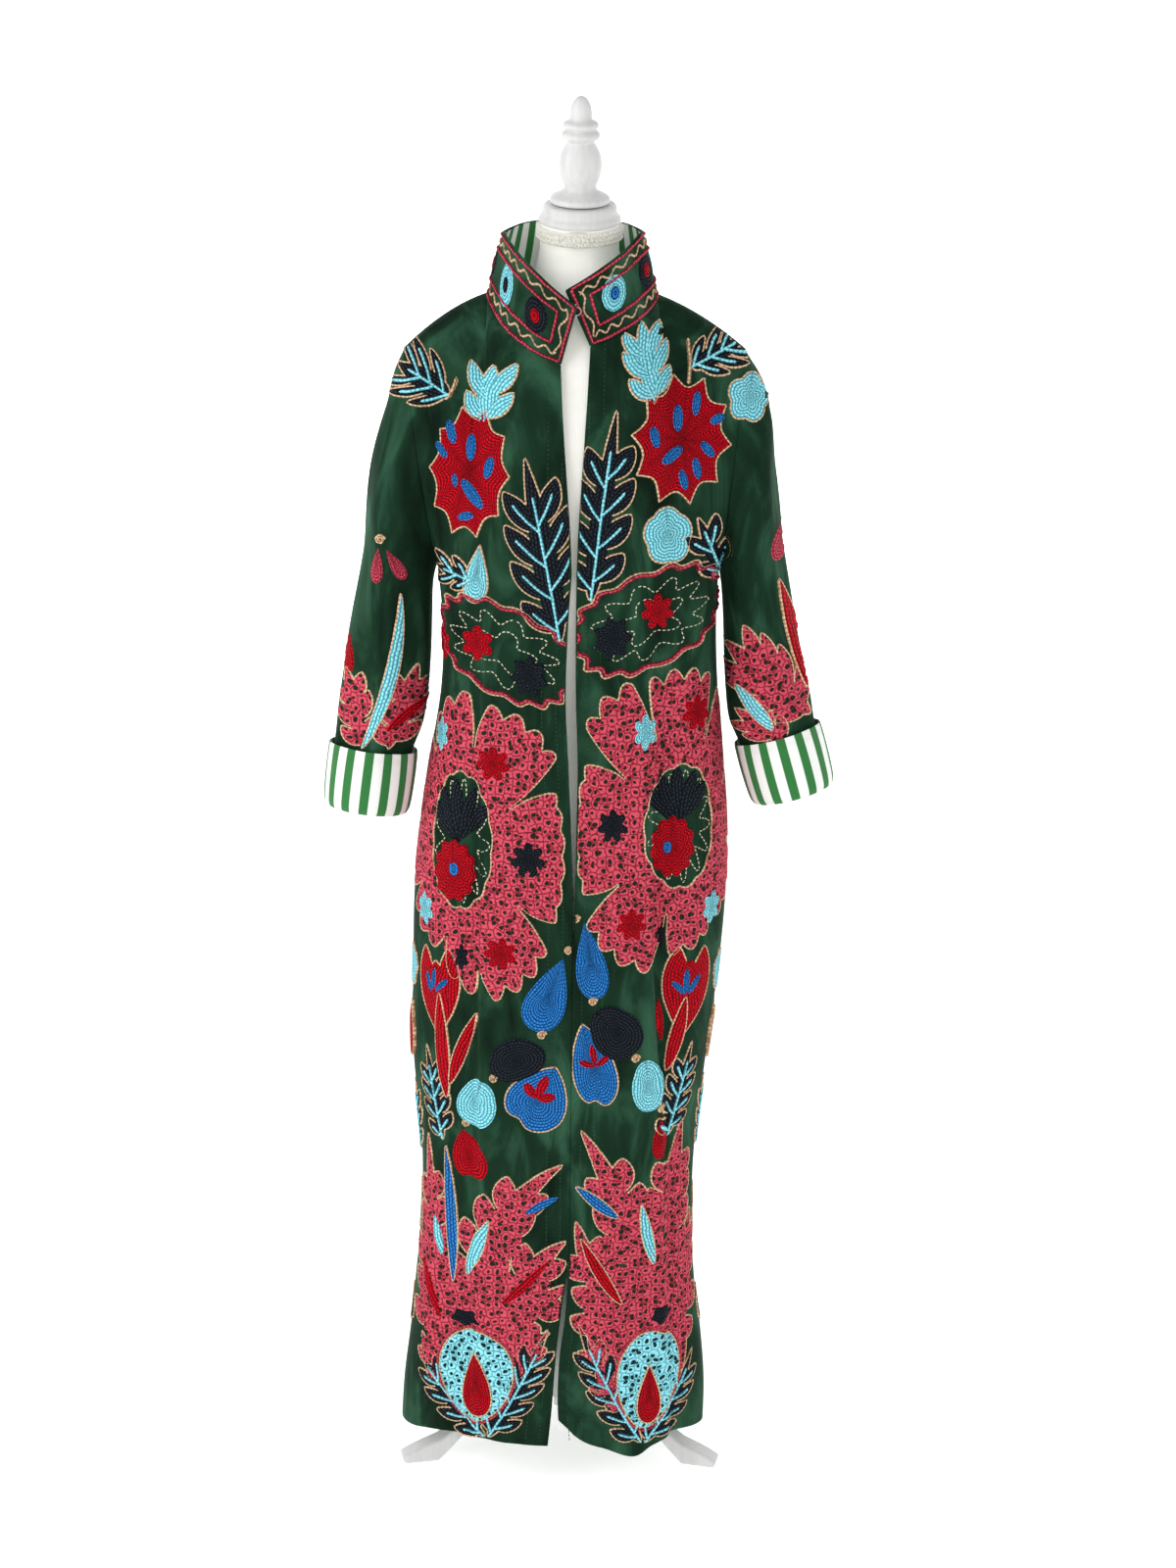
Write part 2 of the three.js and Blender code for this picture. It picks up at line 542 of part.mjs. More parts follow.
// One sleeve: rings from the armhole down to inside the cuff.
function sleevePiece(name) {
  const around = 2 * UPPER_ROWS;
  const down = 15;
  const frame = cuffFrame(name);
  const rows = SLEEVES[name].map((row) => ({ ...row }));
  for (const up of [CUFF_HEIGHT, CUFF_HEIGHT / 2, SLEEVE_END_UP]) {
    const middle = frame.low.clone().addScaledVector(frame.up, up);
    const out = middle.clone().addScaledVector(frame.across, CUFF_HALF_WIDTH);
    const inside = middle.clone().addScaledVector(frame.across, -CUFF_HALF_WIDTH);
    rows.push({
      outX: out.x, outZ: out.z, inX: inside.x, inZ: inside.z, depth: CUFF_HALF_DEPTH, y: middle.y,
    });
  }
  const side = SIDES[name];
  rows.unshift({
    outX: side.tip[0], outZ: side.tip[2], inX: side.underarm[0], inZ: side.underarm[2],
    depth: ARMHOLE_DEPTH, y: 0,
  });
  rows.forEach((row, i) => { row.i = i; });
  const grid = [];
  for (let j = 0; j <= down; j += 1) {
    const key = (rows.length - 1) * j / down;
    const value = (column) => sample(rows, 'i', key, column);
    const ring = [];
    for (let i = 0; i < around; i += 1) {
      const angle = 2 * Math.PI * i / around;
      const share = (1 + Math.cos(angle)) / 2;
      const relief = sleeveRelief(i / around * 360, j / down);
      const depth = value('depth') + relief;
      ring.push(vec(
        lerp(value('inX'), value('outX'), share) + side.sign * relief * Math.max(0, Math.cos(angle)),
        value('y') - Math.sin(angle) * depth,
        lerp(value('inZ'), value('outZ'), share),
      ));
    }
    grid.push(ring);
  }
  grid[0].forEach((point) => { point.x += side.sign * SEAM_GAP * 2.4; });
  const normals = gridNormals(grid, true, side.sign < 0);
  for (let i = 0; i < around; i += 1) {
    const angle = 2 * Math.PI * i / around;
    const share = Math.acos(-Math.cos(angle)) / Math.PI;
    normals[0][i] = armholeNormal(name, share, angle < Math.PI ? -1 : 1);
  }
  return wall(grid, normals, WALL, true);
}

function sleeveRelief(angle, down) {
  let relief = 0;
  for (const ridge of SLEEVE_RIDGES) {
    const along = (down - ridge.low) / (ridge.high - ridge.low);
    const swell = Math.sin(Math.PI * clamp(along)) ** 2;
    const offset = (angle - ridge.angle) / ridge.width;
    relief += ridge.height * swell * Math.exp(-offset * offset);
  }
  return relief;
}

// A turned-back cuff: the section CUFF_SECTION carried round the sleeve's end.
function cuffPiece(name) {
  const around = 20;
  const frame = cuffFrame(name);
  const grid = [];
  for (let i = 0; i < around; i += 1) {
    const angle = 2 * Math.PI * i / around;
    grid.push(CUFF_SECTION.map((corner) => frame.low.clone()
      .addScaledVector(frame.up, corner.up)
      .addScaledVector(frame.across, Math.cos(angle) * (CUFF_HALF_WIDTH + corner.out))
      .add(vec(0, -Math.sin(angle) * (CUFF_HALF_DEPTH + corner.out), 0))));
  }
  return tube(grid);
}

// A ring-shaped body: closed sections that follow each other round a closed path.
function tube(sections) {
  const around = sections.length;
  const count = sections[0].length;
  const positions = sections.flat().flatMap((p) => [p.x, p.y, p.z]);
  const faces = [];
  for (let j = 0; j < around; j += 1) {
    for (let i = 0; i < count; i += 1) {
      const nextRing = ((j + 1) % around) * count;
      const next = (i + 1) % count;
      const [a, b, c, d] = [j * count + i, j * count + next, nextRing + next, nextRing + i];
      faces.push(a, b, c, a, c, d);
    }
  }
  return solid(positions, faces);
}

// A layer of the collar: inset is measured inwards from the velvet's outer face, and margin is how far
// its edges stay back from the collar's, as a share of its height.
function collarLayer(inset, thickness, margin) {
  const columns = 30;
  const rise = 4;
  const rows = COLLAR.map((entry, i) => ({ ...entry, i }));
  const grid = [];
  for (let j = 0; j <= rise; j += 1) {
    const up = lerp(margin, 1 - margin * 0.6, j / rise);
    const line = [];
    for (let i = 0; i <= columns; i += 1) {
      const key = lerp(margin * 0.6, rows.length - 1 - margin * 0.6, i / columns);
      const value = (column) => sample(rows, 'i', key, column);
      const low = vec(value('x'), value('y'), value('z') + SEAM_GAP * 3);
      line.push(low.lerp(vec(value('topX'), value('topY'), value('topZ')), up));
    }
    grid.push(line);
  }
  const normals = gridNormals(grid, false, true);
  const placed = grid.map((row, j) => row.map((p, i) => p.clone().addScaledVector(normals[j][i], -inset)));
  return wall(placed, normals, thickness, false);
}

// The bent wire hook that closes the collar.
function hookPiece() {
  const shape = new THREE.Shape();
  const start = -0.6 * Math.PI;
  const end = 0.6 * Math.PI;
  shape.absarc(0, 0, HOOK.outer, start, end, false);
  shape.absarc(0, 0, HOOK.inner, end, start, true);
  const geometry = new THREE.ExtrudeGeometry(shape, {
    depth: HOOK.thickness, bevelEnabled: false, curveSegments: 14,
  });
  geometry.rotateX(Math.PI / 2);
  geometry.translate(HOOK.x, HOOK.y + HOOK.thickness, HOOK.z);
  return geometry;
}

// ---------------------------------------------------------------- dress form and stand
// Ring of the form above the underarm: the coat's smooth shape moved in by its wall and a gap.
function formRing(up) {
  const clear = WALL + lerp(12, FORM_GAP, smoothstep(up / 0.6));
  const inside = (name, facing, across) => {
    const point = upperPoint(name, facing, across, up, false);
    const step = 0.02;
    const along = upperPoint(name, facing, across + step, up, false)
      .sub(upperPoint(name, facing, Math.max(0, across - step), up, false));
    const rise = upperPoint(name, facing, across, Math.min(1, up + step), false)
      .sub(upperPoint(name, facing, across, Math.max(0, up - step), false));
    const normal = along.cross(rise).normalize();
    if (normal.y * facing < 0) normal.negate();
    return point.addScaledVector(normal, -clear);
  };
  return formOrder(inside);
}

// The order of points round the form, the same for every ring.
const FORM_FRONT = [0.08, 0.22, 0.34, 0.42, 0.48, 0.58, 0.72, 0.86];
const FORM_BACK = [0.08, 0.2, 0.29, 0.36, 0.43, 0.56, 0.72, 0.86];
function formOrder(pointAt) {
  const ring = [];
  FORM_FRONT.forEach((share) => ring.push(pointAt('left', -1, share)));
  FORM_BACK.slice().reverse().forEach((share) => ring.push(pointAt('left', 1, share)));
  FORM_BACK.forEach((share) => ring.push(pointAt('right', 1, share)));
  FORM_FRONT.slice().reverse().forEach((share) => ring.push(pointAt('right', -1, share)));
  return ring;
}

function formTorso() {
  const rings = FORM.slice(0, -1).map((row) => formOrder((name, facing, across) => {
    const angle = across * Math.PI / 2;
    return vec(
      SIDES[name].sign * row.width * signedPower(Math.sin(angle), SECTION_POWER),
      facing * (facing < 0 ? row.front : row.back) * signedPower(Math.cos(angle), SECTION_POWER),
      row.z,
    );
  }));
  for (const up of [0, 0.14, 0.3, 0.46, 0.62, 0.76, 0.88, 0.95]) rings.push(formRing(up));
  const shoulderRing = rings[rings.length - 1];
  const neckRings = NECK.map((row) => shoulderRing.map((point) => {
    const turn = Math.atan2(point.y - row.y, point.x);
    return vec(row.width * Math.cos(turn), row.y + row.depth * Math.sin(turn), row.z);
  }));
  const between = shoulderRing.map((point, i) => point.clone().lerp(neckRings[0][i], 0.55));
  const head = [-HEAD.length, 0].map((height) => headRing(shoulderRing, height));
  return loft([...rings, between, ...neckRings, ...head]);
}

// A turned part on the leaning axis of the form's head.
function turned(profile, segments) {
  const geometry = new THREE.LatheGeometry(profile.map(([r, h]) => new THREE.Vector2(r, h)), segments);
  geometry.rotateX(Math.PI / 2);
  geometry.rotateX(HEAD_LEAN);
  geometry.translate(0, HEAD.y, HEAD.z);
  return geometry;
}

// A ring of the leaning neck end, one point for each point of another ring.
function headRing(ring, height) {
  return ring.map((point) => {
    const turn = Math.atan2(point.y, point.x);
    return vec(HEAD.radius * Math.cos(turn), HEAD.radius * Math.sin(turn), height)
      .applyAxisAngle(vec(1, 0, 0), HEAD_LEAN)
      .add(vec(0, HEAD.y, HEAD.z));
  });
}

// One leg of the stand: its side outline, as thick as a plank, turned to its direction.
function leg(turn, reach) {
  const outline = LEG_OUTLINE.map(([r, z]) => new THREE.Vector2(LEG_START + (r - LEG_START) * reach, z));
  const shape = new THREE.Shape(outline);
  const geometry = new THREE.ExtrudeGeometry(shape, { depth: LEG_THICKNESS, bevelEnabled: false });
  geometry.translate(0, 0, -LEG_THICKNESS / 2);
  geometry.rotateX(Math.PI / 2);
  geometry.rotateZ(turn * Math.PI / 180);
  return geometry;
}

// ---------------------------------------------------------------- materials and assembly
const finish = (name, color, roughness, metalness) => (
  new THREE.MeshStandardMaterial({ name, color, roughness, metalness }));
const velvet = finish('velvet', 0x1d3a27, 0.9, 0);
const stripe = finish('stripe', 0xb9cbb8, 0.85, 0);
const cream = finish('cream', 0xefece2, 0.8, 0);
const steel = finish('steel', 0xb8bcbf, 0.35, 1);
const white = finish('white', 0xf4f4f2, 0.45, 0);

const group = new THREE.Group();
function add(name, geometry, material) {
  geometry.computeVertexNormals();
  const mesh = new THREE.Mesh(geometry, material);
  mesh.name = name;
  group.add(mesh);
}

add('front_right', frontPiece('right'), velvet);
add('front_left', frontPiece('left'), velvet);
add('back', backPiece(), velvet);
add('sleeve_right', sleevePiece('right'), velvet);
add('sleeve_left', sleevePiece('left'), velvet);
add('cuff_right', cuffPiece('right'), stripe);
add('cuff_left', cuffPiece('left'), stripe);
add('collar', collarLayer(0, COLLAR_WALL, 0), velvet);
add('collar_lining', collarLayer(COLLAR_WALL + SEAM_GAP, LINING_WALL, 0.06), stripe);
add('collar_hook', hookPiece(), steel);
add('form_torso', formTorso(), cream);
add('neck_trim', turned([...TRIM_PROFILE, TRIM_PROFILE[0]], 28), cream);
add('neck_cap', turned(CAP_PROFILE, 28), white);
add('finial', turned(FINIAL_PROFILE, 24), white);
const pole = new THREE.CylinderGeometry(POLE_RADIUS, POLE_RADIUS, POLE_TOP - POLE_FOOT, 20);
pole.rotateX(Math.PI / 2);
pole.translate(0, 0, (POLE_TOP + POLE_FOOT) / 2);
add('pole', pole, white);
add('hub', turnedHub(), white);
LEGS.forEach(({ name, turn, reach }) => add(name, leg(turn, reach), white));

function turnedHub() {
  const outline = [...HUB_PROFILE, HUB_PROFILE[0]].map(([r, h]) => new THREE.Vector2(r, h));
  const geometry = new THREE.LatheGeometry(outline, 24);
  geometry.rotateX(Math.PI / 2);
  return geometry;
}

// The footprint's middle comes to the origin.
const box = new THREE.Box3().setFromObject(group);
const centre = box.getCenter(vec(0, 0, 0));
group.children.forEach((mesh) => mesh.geometry.translate(-centre.x, -centre.y, -box.min.z));

export default group;
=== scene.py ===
# Velvet duster coat on a dress form. Points are worked out in millimetres and written in metres.
# "right" and "left" are the wearer's: the wearer's right side is at -X, and the coat opens towards -Y.
import math

import bmesh
import bpy
import numpy as np
from mathutils import Matrix, Vector


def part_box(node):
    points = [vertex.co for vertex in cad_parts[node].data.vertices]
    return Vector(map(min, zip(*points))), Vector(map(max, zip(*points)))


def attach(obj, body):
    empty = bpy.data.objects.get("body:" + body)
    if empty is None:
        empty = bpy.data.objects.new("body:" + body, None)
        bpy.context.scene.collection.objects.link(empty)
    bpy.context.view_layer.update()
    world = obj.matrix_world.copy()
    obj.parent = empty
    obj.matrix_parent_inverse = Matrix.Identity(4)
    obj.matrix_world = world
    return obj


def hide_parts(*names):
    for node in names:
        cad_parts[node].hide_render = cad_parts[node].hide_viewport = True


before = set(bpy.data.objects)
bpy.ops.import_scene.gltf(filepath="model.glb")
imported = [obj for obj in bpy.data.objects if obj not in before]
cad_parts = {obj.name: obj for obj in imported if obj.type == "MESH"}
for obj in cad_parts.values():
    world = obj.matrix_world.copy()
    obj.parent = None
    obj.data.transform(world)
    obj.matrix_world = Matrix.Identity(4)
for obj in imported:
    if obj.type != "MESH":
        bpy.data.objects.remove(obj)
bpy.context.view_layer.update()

scene = bpy.context.scene


def add_object(name, data):
    made = bpy.data.objects.new(name, data)
    scene.collection.objects.link(made)
    return made


pole_low, pole_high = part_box("pole")
# The tables below count x and y from the pole; the model counts them from its footprint's middle.
AXIS = np.array([(pole_low.x + pole_high.x) * 500, (pole_low.y + pole_high.y) * 500, 0.0])

# ---------------- camera
CAMERA_AT = (19.2, -2732.0, 1450.0)        # mm, from the pole
CAMERA_DOWN = math.radians(12.2707)
CAMERA_ROLL = math.radians(0.9)

camera_data = bpy.data.cameras.new("camera")
camera_data.lens = 54
camera_data.sensor_width = 36
camera_data.clip_end = 40
camera = add_object("camera", camera_data)
turned = Matrix.Rotation(math.pi / 2 - CAMERA_DOWN, 4, "X") @ Matrix.Rotation(CAMERA_ROLL, 4, "Z")
camera.matrix_world = Matrix.Translation([(a + b) / 1000 for a, b in zip(CAMERA_AT, AXIS)]) @ turned
scene.camera = camera
scene.view_settings.view_transform = "Standard"

# ---------------- sizes of the coat, mm
WALL = 2.4                 # velvet and lining together
SEAM_GAP = 0.3
UNDERARM_Z = 1120
SECTION_POWER = 0.8        # 1 gives an ellipse, less gives a squarer body section
ARMHOLE_DEPTH = 62         # half of the armhole, front to back
MITRE = 0.8                # how far the armhole rim leans out of its own plane
NECK_AT = {-1: 0.42, 1: 0.36}            # share of a front's (-1) or the back's (1) width at the neck point
LEAN = {-1: (70, 165), 1: (60, 130)}     # how far a column leans in at its top: in the middle, at the side
END_RISE = {-1: (220, 60), 1: (200, 60)}  # and how steeply it still rises there
SIDE_FADE = 30             # folds and puckers fade out this far before the side seam
FOLD_SOFTNESS = 3.4
FOLD_COLUMN = 0.42         # the column of a front that follows its long fold
WRAP_FROM = 0.8            # beyond this share of the half width a pattern follows the cloth
CUFF_HEIGHT = 76
CUFF_HALF_WIDTH = 46
CUFF_HALF_DEPTH = 44
SLEEVE_END_UP = 8
STRIPES_APART = 20.0       # of the lining
COLLAR_WALL = 3.3          # velvet and lining of the stand collar
COLLAR_TALL = 72           # height of the collar's pattern
TABLE_STEP = 3.0           # between the places that embroidery is put on by
FOUND = 1.5                # a place counts as found when the search ends this near to it
SLEEVE_FROM = 150          # least distance from the coat's middle at which a sleeve shows
WRAP_FADE = 200            # height over which the wrapping starts below the underarm
LOWER_ROWS, UPPER_ROWS = 215, 60         # of a panel's grid, below and above the underarm

BODY = dict(
    z=[30, 100, 165, 230, 300, 400, 530, 640, 735, 825, 900, 975, 1050, 1120],
    right=[203, 199, 191, 184, 177, 177, 188, 188, 186, 177, 166, 155, 153, 160],
    left=[176, 176, 170, 161, 156, 156, 168, 180, 186, 184, 177, 170, 166, 167],
    front=[106, 106, 107, 108, 110, 113, 118, 122, 125, 126, 125, 124, 125, 126],
    back=[112, 111, 110, 109, 108, 106, 106, 107, 108, 108, 106, 103, 102, 104],
    right_edge=[-20, -14, -10, -4, 4.0, 4.6, 4.2, 3.4, 3.6, 0, -4, -8, -7, -3.5],
    left_edge=[2, -5, -4, 3, 5.4, 6.0, 5.6, 5.2, 6.6, 7.5, 8, 5, 3.5, 3.4],
)
# Collar from the wearer's right end round the back to the left end: lower and upper edge.
COLLAR = dict(
    row=list(range(15)),
    x=[-19, -48, -80, -99, -102, -80, -42, -6, 30, 67, 88, 84, 64, 36, 15],
    y=[-93, -84, -58, -22, 14, 48, 68, 74, 68, 48, 14, -22, -58, -80, -88],
    z=[1350, 1361, 1384, 1411, 1427, 1437, 1443, 1445, 1443, 1438, 1428, 1413, 1394, 1378, 1370],
    top_x=[-2, -34, -66, -84, -85, -67, -35, -5, 25, 55, 71, 68, 48, 18, -13],
    top_y=[-99, -88, -62, -26, 12, 46, 63, 68, 63, 46, 12, -26, -60, -80, -88],
    top_z=[1412, 1437, 1467, 1489, 1495, 1504, 1509, 1511, 1509, 1505, 1497, 1492, 1471, 1449, 1430],
)
SIGN = dict(right=-1, left=1)
TIP = dict(right=np.array([-198.0, 0, 1364]), left=np.array([190.0, 0, 1369]))
UNDERARM = dict(right=np.array([-160.0, 0, 1120]), left=np.array([167.0, 0, 1120]))
BULGE = dict(right=8, left=6)            # of the shoulder seam
NECK_ROW = dict(right=4, left=10)        # row of the collar at the neck point
HEM = dict(
    right=dict(at=[0, 0.15, 0.35, 0.7, 1], z=[53, 57, 61, 53, 46]),
    left=dict(at=[0, 0.04, 0.15, 0.29, 0.38, 0.54, 0.78, 1], z=[88, 66, 49, 38, 48, 58, 54, 46]),
)
# The long fold of each front: where it runs (x from the middle) and how deep it steps.
FOLD = dict(
    right=dict(z=[30, 200, 450, 700, 900, 1000, 1060, 1120],
               x=[112, 108, 106, 107, 106, 105, 104, 104],
               depth=[7, 9, 12, 14, 12, 5, 0, 0]),
    left=dict(z=[30, 200, 450, 620, 780, 950, 1030, 1120],
              x=[134, 127, 119, 103, 96, 93, 92, 92],
              depth=[9, 12, 13, 14, 14, 11, 4, 0]),
)
# Soft ridges of the fronts: low and high end, x there, width, height.
RIDGES = dict(
    right=[(1000, 1190, 140, 106, 13, 7), (60, 420, 168, 160, 16, 6), (90, 560, 52, 60, 18, 4)],
    left=[(1020, 1210, 140, 126, 13, 7), (960, 1140, 78, 74, 16, 4), (70, 520, 62, 58, 18, 5)],
)
# Folds of the back: x at the hem, x at the waist, width, height at the hem, top end.
BACK_RIDGES = [
    (-150, -118, 18, 9, 980), (-84, -66, 20, 10, 1040), (-14, -12, 20, 9, 1000),
    (58, 44, 20, 10, 1050), (124, 104, 18, 9, 970),
]
# Sleeve sections from the armhole to inside the cuff: outer point, inner point, half depth, middle y.
SLEEVES = dict(
    right=dict(row=list(range(9)),
               out_x=[-198, -218, -236, -247, -262, -274], out_z=[1364, 1312, 1234, 1132, 1032, 956],
               in_x=[-160, -165, -166, -167, -170, -176], in_z=[1120, 1094, 1056, 1012, 968, 930],
               depth=[62, 62, 61, 59, 57, 53], y=[0, -2, -4, -6, -8, -9]),
    left=dict(row=list(range(9)),
              out_x=[190, 222, 229, 242, 258, 277], out_z=[1369, 1310, 1236, 1150, 1050, 975],
              in_x=[167, 171, 174, 176, 179, 184], in_z=[1120, 1094, 1056, 1014, 974, 940],
              depth=[62, 62, 61, 59, 57, 52], y=[0, -2, -4, -6, -8, -9]),
)
# Each cuff's lower fold and a point up the sleeve from it.
CUFFS = dict(right=[(-243.5, -10, 826), (-234, -10, 901)], left=[(262.5, -10, 852), (240, -10, 926)])
# Section of a turned-back cuff: distance from the sleeve's face and height above the lower fold.
CUFF_SECTION = np.array([
    (5.6, 76), (7.0, 45), (6.0, 10), (3.0, 1.5), (0.5, 0), (-3, 1), (-5.2, 6), (-5.2, 24),
    (-3.5, 24), (-3.5, 7), (-1.5, 3.2), (0.5, 2.4), (2.2, 3.6), (4.0, 10.5), (5.0, 45), (3.8, 76),
], float)
# Soft ridges on a sleeve: angle from the outer line to the front, span down the sleeve, width, height.
SLEEVE_RIDGES = [(62, 0.12, 0.5, 16, 5), (100, 0.3, 0.8, 18, 4), (250, 0.15, 0.7, 20, 5)]

# Dress form: half width and depths below the underarm, the neck, and the leaning head end.
FORM = dict(z=[700, 760, 840, 940, 1030, 1120], width=[118, 138, 140, 124, 130, 142],
            front=[84, 98, 102, 98, 108, 117], back=[78, 88, 88, 80, 84, 92])
NECK_RINGS = [(1432, -1, 54, 54), (1454, -2, 50, 51)]
HEAD_AT = (0, -8, 1506)
HEAD_RADIUS = 45
HEAD_LEAN = 0.27
CAP_PROFILE = [(0, 0.3), (46, 0.3), (46.6, 2), (46.6, 6), (43, 9), (42, 12), (42, 18), (38, 21), (0, 21)]
FINIAL_PROFILE = [
    (0, 21.3), (33, 21.3), (34.5, 25), (33, 29), (24, 33), (17, 38), (21, 47), (24.5, 60), (23.5, 74),
    (17, 86), (15, 90), (21, 93), (22, 97), (20, 100), (16, 102), (20, 105), (20, 110), (12, 113),
    (12.5, 120), (11, 129), (6, 137), (0, 139),
]
HUB_PROFILE = [(15.3, 118), (30, 118), (34, 124), (34, 232), (26, 244), (22, 262), (15.3, 262)]
POLE_PROFILE = [(0, 70), (15, 70), (15, 699.7), (0, 699.7)]
HOOK_AT = (-1, -90.2, 1408)
HOOK_WIRE_RADIUS = 0.6
LEG_START = 34.4
LEG_THICKNESS = 26
LEGS = [("leg_right", -167, 1), ("leg_left", -13, 0.96), ("leg_back", 90, 0.54)]
LEG_OUTLINE = np.array([
    (34.4, 226), (34.4, 130), (70, 98), (110, 52), (140, 20), (160, 0), (203, 0), (206, 8),
    (186, 18), (150, 31), (124, 62), (104, 128), (72, 196),
], float)


# ---------------- curves
def smoothstep(t):
    """0 below 0, 1 above 1, and 3 t squared less 2 t cubed between."""
    t = np.clip(t, 0, 1)
    return t * t * (3 - 2 * t)


def lerp(a, b, t):
    return a + (b - a) * t


def hermite(start, end, slope_start, slope_end, t):
    """The cubic from start to end with the two end slopes, at t from 0 to 1."""
    t2, t3 = t * t, t * t * t
    return ((2 * t3 - 3 * t2 + 1) * start + (t3 - 2 * t2 + t) * slope_start
            + (3 * t2 - 2 * t3) * end + (t3 - t2) * slope_end)


def smooth(table, key_name, key, column):
    """A table's column at key: cubics through the rows, each row's slope the mean of its two sides'."""
    keys = np.asarray(table[key_name], float)
    values = np.asarray(table[column], float)
    slopes = np.diff(values) / np.diff(keys)
    at_rows = np.concatenate([slopes[:1], (slopes[:-1] + slopes[1:]) / 2, slopes[-1:]])
    i = np.clip(np.searchsorted(keys, key, side="left") - 1, 0, len(keys) - 2)
    span = keys[i + 1] - keys[i]
    return hermite(values[i], values[i + 1], at_rows[i] * span, at_rows[i + 1] * span,
                   (key - keys[i]) / span)


def signed_power(value, exponent):
    return np.sign(value) * np.abs(value) ** exponent


def floats(*values):
    """The values as arrays of one shape."""
    return np.broadcast_arrays(*(np.asarray(value, float) for value in values))


def around(count):
    """Angles once round."""
    return np.linspace(0, 2 * np.pi, count, endpoint=False)


def on_circle(radius, angle, height):
    """Points about the z axis."""
    return np.stack(np.broadcast_arrays(radius * np.cos(angle), radius * np.sin(angle), height), -1)


def lengths(points):
    """Lengths along a path, or along each column of a grid, from its start to every point."""
    steps = np.linalg.norm(np.diff(points, axis=0), axis=-1)
    return np.concatenate([0 * steps[:1], np.cumsum(steps, axis=0)])


def unit(vectors):
    return vectors / np.maximum(np.linalg.norm(vectors, axis=-1, keepdims=True), 1e-9)


def rounded(points, times, closed=True):
    """Corner cutting: each corner is replaced by two points a quarter of the way to its neighbours."""
    points = np.asarray(points, float)
    for _ in range(times):
        ahead = np.roll(points, -1, axis=0)
        cut = np.stack([0.75 * points + 0.25 * ahead, 0.25 * points + 0.75 * ahead], 1)
        cut = cut.reshape(-1, points.shape[1])
        points = cut if closed else np.concatenate([points[:1], cut[:-2], points[-1:]])
    return points


# ---------------- shape of the coat
def neckline(row):
    """Points of the collar's lower edge, by row number counted with fractions."""
    return np.stack([smooth(COLLAR, "row", row, axis) for axis in ("x", "y", "z")], -1)


def shoulder(side, share):
    """Shoulder seam from the neck point (0) to the tip (1): a straight line with a parabola's bulge."""
    share = np.asarray(share, float)[..., None]
    point = lerp(neckline(NECK_ROW[side]), TIP[side], share)
    point[..., 2] += (BULGE[side] * 4 * share * (1 - share))[..., 0]
    return point


def armhole(side, share, facing):
    """Armhole edge, half an oval from the underarm (0) to the shoulder tip (1)."""
    share = np.asarray(share, float)
    point = lerp(UNDERARM[side], TIP[side], ((1 - np.cos(np.pi * share)) / 2)[..., None])
    point[..., 1] = facing * ARMHOLE_DEPTH * np.sin(np.pi * share)
    return point


def armhole_normal(side, share, facing):
    """Direction of the armhole's rim: away from the middle of the armhole and out to the side."""
    out = unit(armhole(side, share, facing) - (UNDERARM[side] + TIP[side]) / 2)
    out[..., 0] += SIGN[side] * MITRE
    return unit(out)


def pucker(x, z):
    """Small unevenness that close stitching leaves in the cloth: a product of two bent sine waves."""
    return (1.3 * np.sin(x / 11 + 1.3 * np.sin(z / 63)) * np.sin(z / 41 + 0.8 * np.sin(x / 29))
            + 0.6 * np.sin(x / 6.3 + 2 * np.sin(z / 90)) * np.sin(z / 77))


def front_relief(side, x, z, half):
    """How far a front stands out of its section: the long fold's tanh step, Gaussian ridges, puckers."""
    distance = np.abs(x)
    at = smooth(FOLD[side], "z", z, "x")
    depth = np.maximum(0, smooth(FOLD[side], "z", z, "depth"))
    step = (1 + np.tanh((distance - at) / FOLD_SOFTNESS)) / 2
    rise = np.clip((distance - at) / (half - at), 0, 1)
    relief = -depth * step * (1 - rise)
    for low, high, low_x, high_x, width, height in RIDGES[side]:
        up = (z - low) / (high - low)
        swell = np.sin(np.pi * np.clip(up, 0, 1)) ** 2
        relief = relief + height * swell * np.exp(-((distance - lerp(low_x, high_x, up)) / width) ** 2)
    return relief + pucker(x, z) * smoothstep((half - distance) / SIDE_FADE)


def back_relief(x, z, half):
    """How far the back stands out: Gaussian folds that grow towards the hem, and puckers."""
    relief = 0 * x
    for hem_x, waist_x, width, height, top in BACK_RIDGES:
        up = np.clip(z / top, 0, 1)
        offset = (x - lerp(hem_x, waist_x, up)) / width
        relief = relief + height * (1 - up) ** 0.7 * (np.exp(-offset ** 2) - 0.35)
    return (relief + pucker(x, z)) * smoothstep((half - np.abs(x)) / SIDE_FADE)


def section(side, facing, across, z):
    """Smooth body section at height z: a superellipse from its middle (0) to the side (1)."""
    half = smooth(BODY, "z", z, side)
    edge = smooth(BODY, "z", z, side + "_edge") if facing < 0 else 0 * z
    depth = smooth(BODY, "z", z, "front" if facing < 0 else "back")
    angle = np.clip(across, 0, 1) * np.pi / 2
    out = signed_power(np.sin(angle), SECTION_POWER)
    deep = signed_power(np.cos(angle), SECTION_POWER)
    return np.stack([edge + (SIGN[side] * half - edge) * out, facing * depth * deep, z], -1)


